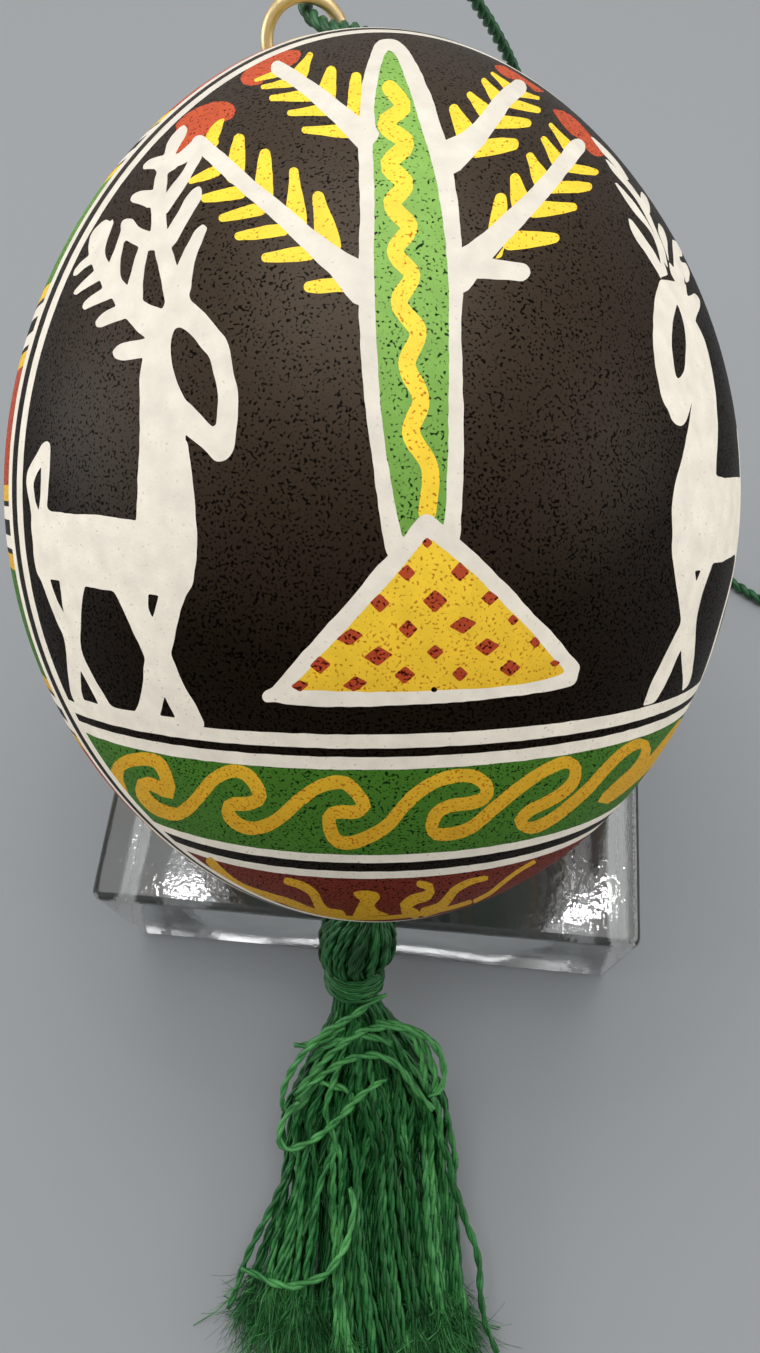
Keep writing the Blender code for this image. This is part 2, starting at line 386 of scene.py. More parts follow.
@dataclass(frozen=True)
class StagMirror:
    """Carries the left stag's half of a panel over to the right stag's, fitted to the photograph.

    Longitudes are in degrees here, and arc lengths in millimetres.
    """

    turn_sum: float = 207.6
    lean: float = 0.33
    arc_from: float = 45.0
    arc_to: float = 46.45
    stretch: float = 1.069
    turn_from: float = 65.0
    tilt: float = 0.03

    def carried(self, places: np.ndarray) -> np.ndarray:
        """Places (longitude in radians, arc length) on the other half of the panel."""
        turn, run = np.degrees(np.unwrap(places[:, 0])), places[:, 1] - self.arc_from
        flipped = self.turn_sum - turn + self.lean * run
        arcs = self.arc_to + self.stretch * run + self.tilt * (turn - self.turn_from)
        return np.stack([np.radians(flipped), arcs], axis=1)


@dataclass
class ShellDrawing:
    """The unrolled shell, on which the drawing's shapes are laid in the order of the dyes.

    The map's first axis is longitude times the egg's half width, its second the arc length, so
    both are in millimetres. The seam runs along the middle of the side belt.
    """

    form: EggForm = EGG
    view: ViewPoint = VIEW
    seam: float = math.radians(13.0)
    hole: float = 0.85
    wobble: float = 0.04
    wobble_size: float = 0.6
    hole_sides: int = 24
    grid: float = 0.95
    grid_clear: float = 0.33
    patch_step: float = 6.0
    stroke_step: float = 5.0
    end_sides: int = 14
    mirror: StagMirror = StagMirror()
    shapes: list[tuple[Dye, np.ndarray]] = field(default_factory=list)

    @property
    def scale(self) -> float:
        """Millimetres of the map for a radian of longitude."""
        return self.form.width / 2

    @property
    def round_trip(self) -> float:
        """The map's whole width."""
        return 2 * math.pi * self.scale

    def to_map(self, places: np.ndarray) -> np.ndarray:
        """Map places (longitude, arc length), with longitudes unwrapped from the first."""
        turns = np.unwrap(places[:, 0])
        turns = turns - 2 * math.pi * math.floor((turns.mean() - self.seam) / (2 * math.pi))
        return np.stack([(turns - self.seam) * self.scale, places[:, 1]], axis=1)

    def lift(self, spots: np.ndarray) -> np.ndarray:
        """Points on the shell, in millimetres, of places on the map."""
        return self.form.surface(spots[:, 0] / self.scale + self.seam, spots[:, 1])

    def add(self, dye: Dye, spots: np.ndarray) -> None:
        """Lay one filled outline, given as places on the map."""
        area = np.sum(spots[:, 0] * np.roll(spots[:, 1], -1) - np.roll(spots[:, 0], -1) * spots[:, 1])
        if abs(area) < 1e-5:
            return
        self.shapes.append((dye, spots if area > 0 else spots[::-1]))

    def patch(self, dye: Dye, points: Outline, corner: float = 2.5, turned: bool = False) -> None:
        """Lay a filled outline read from the photograph.

        Args:
            dye: Its colour.
            points: Its outline, in pixels.
            corner: How much of each side a sharp corner loses, in pixels.
            turned: Lay it in mirror image instead, on the panel's other half.
        """
        pixels = dense(softened(points, corner), self.patch_step)
        places = self.form.locate(self.form.hit(self.view, pixels))
        self.add(dye, self.to_map(self.mirror.carried(places) if turned else places))

    def ribbon(self, dye: Dye, line: np.ndarray, width: float) -> None:
        """Lay a stroke of even width along a closed line.

        Args:
            dye: Its colour.
            line: Points on the shell, in millimetres.
            width: Its full width, in millimetres.
        """
        ahead = np.roll(line, -1, axis=0) - np.roll(line, 1, axis=0)
        side = np.cross(ahead, self.form.normal(line))
        side /= np.linalg.norm(side, axis=1, keepdims=True)
        left = self.form.locate(line + side * width / 2)
        right = self.form.locate(line - side * width / 2)
        for i in range(len(line)):
            j = (i + 1) % len(line)
            self.add(dye, self.to_map(np.array([left[i], right[i], right[j], left[j]])))

    def stroke(self, dye: Dye, points: Outline, widths: tuple[float, ...]) -> None:
        """Lay a stroke through pixels of the photograph, with round ends.

        Args:
            dye: Its colour.
            points: Given points along its middle, in pixels.
            widths: Its width in pixels, evenly spread from its start to its end.
        """
        line = flowing(points, self.stroke_step)
        share = np.linspace(0, 1, len(line))
        half = np.interp(share, np.linspace(0, 1, len(widths)), widths)[:, None] / 2
        ahead = np.gradient(line, axis=0)
        side = np.stack([-ahead[:, 1], ahead[:, 0]], axis=1)
        side /= np.linalg.norm(side, axis=1, keepdims=True)
        angles = np.linspace(0, 2 * math.pi, self.end_sides, endpoint=False)[:, None]
        circle = np.hstack([np.cos(angles), np.sin(angles)])
        outlines = [line[end] + half[end] * circle for end in (0, -1)]
        for i in range(len(line) - 1):
            near, far = side[i] * half[i], side[i + 1] * half[i + 1]
            outlines.append(np.array([line[i] + near, line[i] - near, line[i + 1] - far, line[i + 1] + far]))
        sizes = [len(outline) for outline in outlines]
        places = self.form.locate(self.form.hit(self.view, np.vstack(outlines)))
        for part in np.split(places, np.cumsum(sizes)[:-1]):
            self.add(dye, self.to_map(part))

    def laid(self) -> list[tuple[Dye, np.ndarray]]:
        """The shapes as drawn by hand, each also where it comes round the seam again."""
        found = []
        for dye, outline in self.shapes:
            outline = self.shaken(outline)
            for shift in (-self.round_trip, 0.0, self.round_trip):
                places = outline[:, 0] + shift
                if places.max() > 0 and places.min() < self.round_trip:
                    found.append((dye, np.stack([places, outline[:, 1]], axis=1)))
        return found

    def rim(self) -> np.ndarray:
        """The unrolled shell's own outline, the same on both sides of the seam."""
        rows = self.row_heights()
        rounds = np.linspace(0, self.round_trip, self.hole_sides + 1)
        return np.vstack([
            np.stack([rounds, np.full_like(rounds, self.low)], axis=1),
            np.stack([np.full(len(rows), self.round_trip), rows], axis=1),
            np.stack([rounds[::-1], np.full_like(rounds, self.high)], axis=1),
            np.stack([np.zeros(len(rows)), rows[::-1]], axis=1),
        ])

    @property
    def low(self) -> float:
        """Arc length of the blown hole's rim at the tassel end."""
        half = self.form.steps // 2
        return float(np.interp(self.hole, self.form.radii[:half], self.form.arcs[:half]))

    @property
    def high(self) -> float:
        """Arc length of the blown hole's rim at the ring end."""
        half, total = self.form.steps // 2, self.form.total
        return float(total - np.interp(self.hole, self.form.radii[:-half:-1],
                                       total - self.form.arcs[:-half:-1]))

    def row_heights(self) -> np.ndarray:
        """Arc lengths of the inner rows of the shell's grid."""
        count = round((self.high - self.low) / self.grid)
        return np.linspace(self.low, self.high, count + 1)[1:-1]

    def shaken(self, outline: np.ndarray) -> np.ndarray:
        """Shake an outline a little, as a hand with a wax pen does."""
        solid = self.lift(outline)
        moved = outline.copy()
        stretch = self.scale / np.maximum(self.form.radius(outline[:, 1]), 0.5)
        for k, point in enumerate(solid):
            shake = noise.noise_vector(Vector(point) / self.wobble_size)
            moved[k, 0] += self.wobble * shake.x * stretch[k]
            moved[k, 1] += self.wobble * shake.y
        moved[:, 1] = np.clip(moved[:, 1], self.low - 0.5, self.high + 0.5)
        return moved

    def grid_spots(self, taken: np.ndarray) -> np.ndarray:
        """Loose points that keep the shell's faces small, clear of the outlines' points."""
        tree = kdtree.KDTree(len(taken))
        for k, spot in enumerate(taken):
            tree.insert((spot[0], spot[1], 0.0), k)
        tree.balance()
        found = []
        for n, height in enumerate(self.row_heights()):
            count = max(self.hole_sides, round(2 * math.pi * float(self.form.radius(height)) / self.grid))
            places = (np.arange(count) + (0.5 if n % 2 else 1.0)) / count * self.round_trip
            for place in places[:-1] if not n % 2 else places:
                if tree.find((place, height, 0.0))[2] > self.grid_clear * self.grid:
                    found.append((place, height))
        return np.array(found)

    def triangles(self) -> tuple[np.ndarray, np.ndarray, np.ndarray]:
        """Cut the unrolled shell along every outline.

        Returns:
            Places on the map, triangles, and the dye of each triangle.
        """
        laid = self.laid()
        outlines = [self.rim()] + [outline for _, outline in laid]
        edges, count = [], 0
        for outline in outlines:
            last = count + len(outline) - 1
            edges += [(k, k + 1) for k in range(count, last)] + [(last, count)]
            count = last + 1
        fixed = np.vstack(outlines)
        every = np.vstack([fixed, self.grid_spots(fixed)])
        cut = geometry.delaunay_2d_cdt([Vector(p) for p in every], edges, [], 0, 1e-5, False)
        places, faces = np.array(cut[0]), np.array(cut[2])
        middles = places[faces].mean(axis=1)
        inside = ((middles > (0, self.low)) & (middles < (self.round_trip, self.high))).all(axis=1)
        faces, middles = faces[inside], middles[inside]
        dyes = np.full(len(faces), int(Dye.BLACK))
        for dye, outline in laid:
            in_box = (middles > outline.min(axis=0)) & (middles < outline.max(axis=0))
            near = np.flatnonzero(in_box.all(axis=1))
            dyes[near[winds_round(outline, middles[near])]] = int(dye)
        return places, faces, dyes


def winds_round(outline: np.ndarray, spots: np.ndarray) -> np.ndarray:
    """Whether an outline winds round each of some spots, which holds for crossing outlines too."""
    starts, ends = outline, np.roll(outline, -1, axis=0)
    x, y = spots[:, :1], spots[:, 1:]
    rising = (starts[:, 1] <= y) & (ends[:, 1] > y)
    falling = (starts[:, 1] > y) & (ends[:, 1] <= y)
    run, rise = (ends - starts).T
    left = run * (y - starts[:, 1]) - (x - starts[:, 0]) * rise
    return (rising & (left > 0)).sum(axis=1) != (falling & (left < 0)).sum(axis=1)


LEFT_STAG_BODY: Outline = [
    (186, 440), (150, 425), (143, 400), (143, 357), (139.5, 375), (139.5, 400), (140, 430), (138.5, 460),
    (137.5, 490), (136, 521), (115, 517), (90, 514.5), (70, 513.5), (50, 511.5), (47, 507), (49, 480),
    (50.5, 450), (49.5, 443), (46, 441), (42, 444), (36, 455), (28, 469), (26, 480), (27, 490), (30, 505),
    (31.5, 515), (31, 525), (33, 545), (34, 560), (37, 573), (41, 580), (48, 600), (56, 620), (64, 637),
    (66, 650), (68, 675), (71, 695), (77, 706), (84, 711), (112, 717), (137, 721), (160, 723), (204, 728),
    (204, 722), (195, 703), (185, 688), (178, 672), (170.5, 653), (173, 645), (176, 630), (180, 612),
    (186, 595), (193, 585), (194, 575), (196.5, 560), (197.5, 540), (196, 520), (195, 500), (193, 485),
    (191, 465), (188, 445)]
LEFT_STAG_HEAD: Outline = [
    (145, 337), (138, 333), (126, 318), (115, 322), (101, 328), (96, 327), (95, 322), (100, 315), (108, 310),
    (116, 306), (112, 298), (100, 303), (84, 310), (82, 308), (84, 302), (92, 295), (103, 288), (100, 280),
    (88, 287), (76, 295), (73, 294), (75, 290), (83, 281), (94, 271), (92, 264), (85, 268), (76, 276),
    (73, 276), (74, 270), (81, 262), (89, 255), (88, 248), (90, 236), (95, 228), (103, 221), (107, 219),
    (110, 222), (113, 219), (114, 222), (107, 240), (104, 253), (109, 263), (115, 248), (121, 230),
    (120, 226), (122, 221), (127, 218), (133, 219), (141, 229), (151, 231.5), (151.5, 220), (150.5, 207),
    (147, 208), (142, 205), (135, 204), (130, 200), (132, 195), (140, 191), (153, 190), (154.5, 180),
    (157, 172), (155, 169), (143, 169), (143, 165), (150, 159), (164, 155), (167, 143), (172, 135),
    (180, 127), (184, 125), (187, 127), (187, 133), (182, 142), (177, 150), (175, 155), (181, 158),
    (178, 167), (168, 173), (165.5, 196), (166, 214), (167, 230), (178, 212), (186, 197), (193, 189),
    (199, 186), (202, 190), (202, 198), (196, 207), (190, 218), (183, 230), (176, 243), (171.5, 248),
    (177, 266), (185, 248), (195, 230), (203, 224), (207, 228), (203, 240), (196, 255), (192, 275),
    (191, 288), (189, 294), (191, 301), (200, 308), (211, 321), (220, 332), (225, 338), (230, 350),
    (233, 370), (237, 385), (238.5, 400), (237, 425), (235, 445), (232, 454), (225, 461), (218, 462),
    (212, 458), (205, 450), (195, 442), (186, 435), (184, 470), (160, 470), (142, 430), (142, 360)]
LEFT_STAG_EAR: Outline = [
    (150, 337), (140, 340), (125, 342), (116, 346), (112, 352), (114, 358), (122, 361), (135, 359),
    (150, 357)]
LEFT_STAG_HOLES: list[Outline] = [
    [(41, 467), (36, 475), (33, 485), (35, 500), (38.5, 511), (40, 500), (41, 480)],
    [(50, 579), (59.5, 580.5), (63.5, 613), (58, 602), (53, 590)],
    [(80.5, 670), (98.5, 704), (84, 700), (81, 690)],
    [(85, 586), (100, 589.5), (113, 591), (117, 597), (130, 625), (145, 657.5), (144, 665), (143.5, 680),
     (140, 700), (135.5, 711.5), (120, 709), (111, 706.5), (95, 680), (79.5, 649), (81, 620), (82, 600)],
    [(148.5, 594), (158.5, 595.5), (156, 608), (152.5, 618), (148, 608)],
    [(164.5, 696.5), (175.5, 718), (160, 715.5)],
    [(126, 240), (139, 247), (136, 255), (131, 272), (127, 286), (120, 277), (120, 262), (124, 243)],
    [(148, 251), (154.5, 250), (157, 262), (161, 280), (165, 303), (162, 309), (150, 305), (143, 300),
     (142.5, 285), (145, 265)],
    [(180, 327), (175, 329), (171, 337), (170.5, 350), (172.5, 367), (178, 385), (184, 398), (195, 409),
     (206, 420), (213, 427), (216, 425), (217, 410), (218.5, 398), (216, 385), (212, 365), (208, 355),
     (197, 342), (188, 331)]]
HIDDEN_STAG_REAR: Outline = [
    (58, 512), *LEFT_STAG_BODY[13:37], (76, 703), (82, 704), (80.5, 690), (78, 665), (72, 640), (62, 612),
    (54, 595), (52, 580), (60, 574)]
RIGHT_STAG: Outline = [
    (661, 279), (657, 288), (654, 303), (653, 325), (653, 345), (655, 365), (658, 380), (661, 395),
    (664, 403), (668, 410), (672, 420), (676, 425), (681, 426), (686, 422), (689, 412), (692, 402),
    (690, 415), (688, 430), (684, 450), (680, 467), (676, 480), (673, 495), (671.5, 515), (672.5, 530),
    (672.5, 540), (671.5, 550), (674, 568), (677, 590), (680, 610), (681.5, 622), (675, 635), (665, 655),
    (655, 675), (648, 690), (643, 706), (655, 703), (668, 680), (676, 660), (681, 650), (682, 665),
    (683, 680), (682, 691), (688, 686), (692, 675), (695, 650), (696, 625), (698, 610), (702, 595),
    (707, 580), (713, 563), (722, 562), (729, 558), (736, 554), (741, 530), (743, 505), (743, 478),
    (735, 477), (725, 478), (720, 477), (716, 475), (716.5, 460), (717.5, 445), (718, 425), (717, 410),
    (716, 395), (713, 375), (709, 355), (703, 335), (695, 320), (697, 315), (700, 308), (700, 300),
    (697, 295), (694, 293), (690, 296), (687, 295), (686, 285), (684, 283)]
RIGHT_STAG_EYE: Outline = [
    (677, 304), (680, 310), (683, 320), (685.5, 332), (686, 345), (685, 365), (684, 372), (681, 377),
    (678, 379), (676, 376), (674, 365), (672, 350), (671.5, 335), (673, 322), (675, 312)]
RIGHT_STAG_GAP: Outline = [(695, 571), (701, 570), (696, 582)]
RIGHT_ANTLERS: list[Outline] = [
    [(628, 218), (632, 220), (645, 238), (655, 253), (663, 268), (661, 279), (655, 268), (645, 252),
     (636, 240), (630, 228)],
    [(615, 183), (617, 183), (632, 199), (646, 219), (655, 235), (664, 262), (668, 275), (661, 277),
     (661, 262), (656, 243), (650, 230), (638, 217), (625, 200)],
    [(605, 159), (608, 160), (620, 172), (633, 187), (641, 199), (650, 214), (657, 232), (665, 250),
     (668, 268), (664, 262), (655, 235), (646, 217), (638, 202), (626, 186), (612, 171)],
    [(641, 191), (646, 196), (650, 205), (650, 214), (645, 212), (640, 200)],
    [(658, 222), (663, 228), (667, 238), (668, 250), (669, 262), (665, 250), (658, 232)],
    [(672, 239), (677, 242), (681, 250), (683, 257), (679, 256), (681, 262), (686, 263), (690, 272),
     (689, 281), (686, 283), (684, 276), (685, 290), (680, 290), (670, 272), (669, 262), (674, 268),
     (673, 252)],
    [(590, 136), (594, 138), (606, 149), (616, 160), (622, 168), (629, 180), (626, 180), (612, 163),
     (600, 150)]]

TRUNK_EDGE: Outline = [
    (388, 556), (383, 540), (379, 510), (375, 480), (370, 440), (364, 400), (361, 360), (360, 330),
    (358, 300), (358.5, 264), (359.5, 230), (360, 200), (358.5, 160), (358, 144), (360, 117), (361, 100),
    (362, 85), (364, 75), (367, 65), (372, 50), (375, 44), (380, 40), (388, 38.5), (397, 40), (405, 46),
    (412, 56), (420, 70), (428, 88), (434, 103), (438, 118), (443, 132), (447, 142), (450, 150), (453, 172),
    (455, 185), (458, 205), (460, 225), (461.5, 240), (463, 265), (463, 295), (462, 310), (461, 330),
    (462, 360), (463, 400), (464, 440), (463, 480), (461, 520), (460, 545), (430, 570)]
TRUNK_CORE: Outline = [
    (388, 50), (393, 52), (397, 57), (402, 70), (408, 85), (413, 100), (418, 117), (424, 135), (430, 155),
    (435, 175), (439, 195), (443, 220), (446, 245), (448, 270), (449, 300), (449, 340), (449, 380),
    (448.5, 420), (448, 450), (447, 480), (446, 505), (444, 530), (425, 545), (404, 537), (402, 535),
    (396, 510), (391, 480), (386, 450), (382, 420), (379, 390), (377, 350), (375, 310), (374, 280),
    (374, 250), (375, 200), (373, 160), (373, 143), (378, 139), (380, 133), (375, 126), (374, 110),
    (376, 90), (379, 72), (383, 58), (386, 52)]
TRUNK_WAVE: Outline = [
    (390, 88), (403, 107), (385, 124), (406, 143), (389, 165), (405, 184), (392, 204), (409, 227),
    (395, 252), (412, 275), (399, 303), (418, 332), (407, 364), (421, 400), (411, 432), (430, 468),
    (427, 512)]
BRANCHES: list[tuple[Outline, tuple[float, ...]]] = [
    ([(200, 143), (222, 163), (250, 188), (280, 213), (310, 240), (340, 265), (366, 286)],
     (16, 17, 17, 18, 21, 27, 42)),
    ([(278, 68), (297, 80), (315, 93), (335, 110), (352, 125), (368, 138)], (15, 15, 17, 19, 22, 28)),
    ([(450, 157), (472, 140), (490, 119), (505, 99), (518, 88)], (34, 24, 20, 18, 17)),
    ([(455, 274), (480, 252), (500, 233), (523, 210), (545, 187), (565, 162), (577, 147)],
     (42, 28, 22, 20, 18, 17, 17)),
    ([(470, 266), (495, 269), (521, 272)], (24, 20, 18))]
ANTLER_TINES: list[tuple[Outline, tuple[float, ...]]] = [
    ([(163, 208), (172, 195), (184, 178), (197, 156)], (13, 12, 10, 10)),
    ([(165, 163), (180, 159), (197, 146)], (12, 12, 14))]
# A leaf is two pixels, its tip and its foot in either order, and its width at each.
LEAVES: list[tuple[float, ...]] = [
    (239, 139, 236, 165, 13, 17), (265, 154, 264, 188, 13, 17), (294, 172, 296, 217, 11, 20),
    (318, 197, 327, 236, 14, 22), (206, 175, 191, 181, 10, 7), (230, 194, 205, 198, 12, 10),
    (251, 211, 222, 218, 12, 9), (273, 231, 239, 236, 12, 10), (298, 254, 266, 258, 14, 11),
    (335, 285, 309, 287, 13, 13), (310, 55, 303, 68, 7, 14), (331, 71, 328, 87, 12, 17),
    (356, 77, 355, 108, 12, 15), (272, 75, 256, 80, 7, 4), (286, 83, 263, 87, 9, 5),
    (302, 96, 272, 98, 11, 7), (322, 110, 290, 113, 11, 7), (341, 131, 305, 130, 12, 8),
    (492, 73, 506, 85, 4, 8), (484, 81, 495, 95, 7, 12), (470, 95, 482, 108, 8, 14),
    (454, 109, 463, 127, 12, 18), (522, 94, 538, 98, 8, 4), (514, 104, 538, 110, 9, 7),
    (503, 122, 527, 123, 13, 10), (484, 148, 513, 144, 16, 14), (551, 125, 566, 144, 5, 10),
    (544, 139, 554, 155, 7, 12), (530, 156, 539, 174, 9, 16), (515, 178, 520, 199, 12, 18),
    (501, 199, 498, 221, 14, 16), (572, 168, 595, 172, 9, 8), (559, 187, 588, 187, 12, 10),
    (544, 209, 573, 207, 15, 10), (520, 240, 554, 238, 18, 13)]
LEAF_PATCHES: list[Outline] = [
    [(225, 118), (218, 140), (219, 143), (213, 151), (208, 145), (205, 137), (210, 128), (218, 120)],
    [(495, 259), (505, 245), (502, 257)]]
FLOWERS: list[Outline] = [
    [(173, 157), (178, 140), (175, 125), (187, 113), (200, 106), (212, 102), (225, 101), (233, 104),
     (236, 110), (233, 118), (222, 122), (212, 130), (205, 140), (190, 145), (180, 152)],
    [(240, 78), (246, 70), (258, 58), (272, 52), (285, 50), (300, 50), (301, 56), (297, 62), (290, 66),
     (268, 76), (262, 84), (250, 86), (243, 84)],
    [(494, 65), (502, 65), (515, 72), (530, 82), (545, 92), (535, 92), (525, 82), (512, 79), (505, 77),
     (497, 70)],
    [(553, 109), (562, 110), (575, 118), (588, 132), (600, 148), (605, 155), (598, 157), (590, 153),
     (585, 147), (580, 139), (572, 135), (562, 124), (555, 114)]]
MOUND_EDGE: Outline = [
    (424, 514), (418, 518), (410, 528), (404, 537), (388, 556), (375, 568), (350, 600), (330, 622),
    (300, 655), (275, 684), (272, 688), (264, 691), (262, 697), (265, 702), (275, 702), (290, 705),
    (320, 707), (360, 707), (400, 705), (450, 703), (500, 698), (545, 692), (570, 687), (577, 682),
    (579, 672), (580, 665), (575, 660), (565, 648), (550, 630), (530, 611), (513, 590), (495, 573),
    (475, 553), (460, 539), (443, 524), (430, 515)]
MOUND_FIELD: Outline = [
    (426, 540), (432, 540), (447, 552), (460, 562), (475, 575), (490, 590), (505, 605), (520, 620),
    (535, 636), (548, 652), (560, 665), (565, 672), (555, 677), (530, 683), (490, 688), (450, 690),
    (400, 692), (350, 692), (300, 690), (292, 688), (310, 668), (330, 646), (350, 625), (370, 603),
    (390, 582), (410, 558), (422, 543)]
# A check is its middle pixel, half its width and half its height.
MOUND_CHECKS: list[tuple[float, ...]] = [
    (427, 543, 6, 6), (407, 573, 9, 9), (460, 572, 10, 10), (380, 603, 10, 10), (435, 601, 13, 12),
    (490, 598, 9, 8), (350, 637, 14, 9), (408, 629, 10, 10), (463, 625, 14, 9), (513, 620, 6, 6),
    (535, 642, 6, 6), (320, 665, 11, 9), (378, 656, 15, 10), (435, 652, 9, 8), (487, 647, 13, 9),
    (555, 663, 6, 4), (300, 686, 9, 6), (355, 684, 13, 8), (405, 675, 11, 9), (460, 674, 9, 8),
    (510, 668, 11, 9)]
MOUND_SPOT: Outline = [(430, 690), (434, 686), (438, 690), (434, 693)]
BAND_WAVE: Outline = [
    (122, 795), (117, 780), (119, 767), (128, 761), (145, 759), (157, 762), (164, 772), (168, 785),
    (170, 793), (160, 788), (150, 784), (143, 783), (142, 792), (150, 803), (162, 811), (178, 814),
    (190, 806), (202, 793), (212, 781), (225, 773), (235, 771), (247, 775), (256, 786), (260, 797),
    (252, 803), (240, 804), (230, 805), (228, 812), (235, 822), (248, 828), (265, 826), (283, 815),
    (297, 802), (315, 789), (330, 783), (345, 783), (358, 795), (364, 806), (355, 812), (340, 812),
    (330, 815), (330, 828), (336, 840), (350, 843), (370, 836), (388, 825), (402, 808), (415, 795),
    (435, 782), (455, 776), (475, 777), (487, 787), (485, 797), (470, 803), (450, 806), (438, 812),
    (432, 825), (434, 833), (450, 834), (470, 828), (490, 812), (510, 795), (530, 780), (550, 768),
    (568, 762), (575, 768), (574, 780), (562, 793), (545, 803), (528, 812), (520, 822), (530, 828),
    (550, 820), (570, 805), (590, 787), (605, 770), (620, 755), (635, 745), (645, 744), (645, 755),
    (637, 768), (622, 782), (610, 793), (602, 802), (612, 796), (630, 782), (645, 768), (660, 750),
    (672, 735), (682, 722)]
FLAMES: list[tuple[Outline, tuple[float, ...]]] = [
    ([(210, 861), (222, 873), (240, 886), (265, 895), (290, 902), (310, 910), (330, 916)], (8, 7, 5)),
    ([(287, 881), (300, 885), (313, 893), (318, 903), (325, 912), (340, 916)], (7, 9, 12)),
    ([(420, 884), (431, 888), (428, 895), (413, 900), (404, 908), (415, 914)], (7, 10, 11, 10)),
    ([(486, 878), (470, 882), (455, 890), (447, 900), (440, 907), (425, 912)], (5, 8, 10)),
    ([(534, 862), (520, 870), (505, 881), (490, 893), (475, 901)], (4, 4)),
    ([(265, 893), (300, 908), (340, 917), (380, 918), (420, 914), (450, 908), (470, 902)], (4, 4))]
FLAME_PATCH: Outline = [(353, 892), (366, 890), (379, 893), (380, 898), (374, 905), (377, 910), (390, 915),
                        (352, 917), (357, 907), (361, 900), (355, 897)]


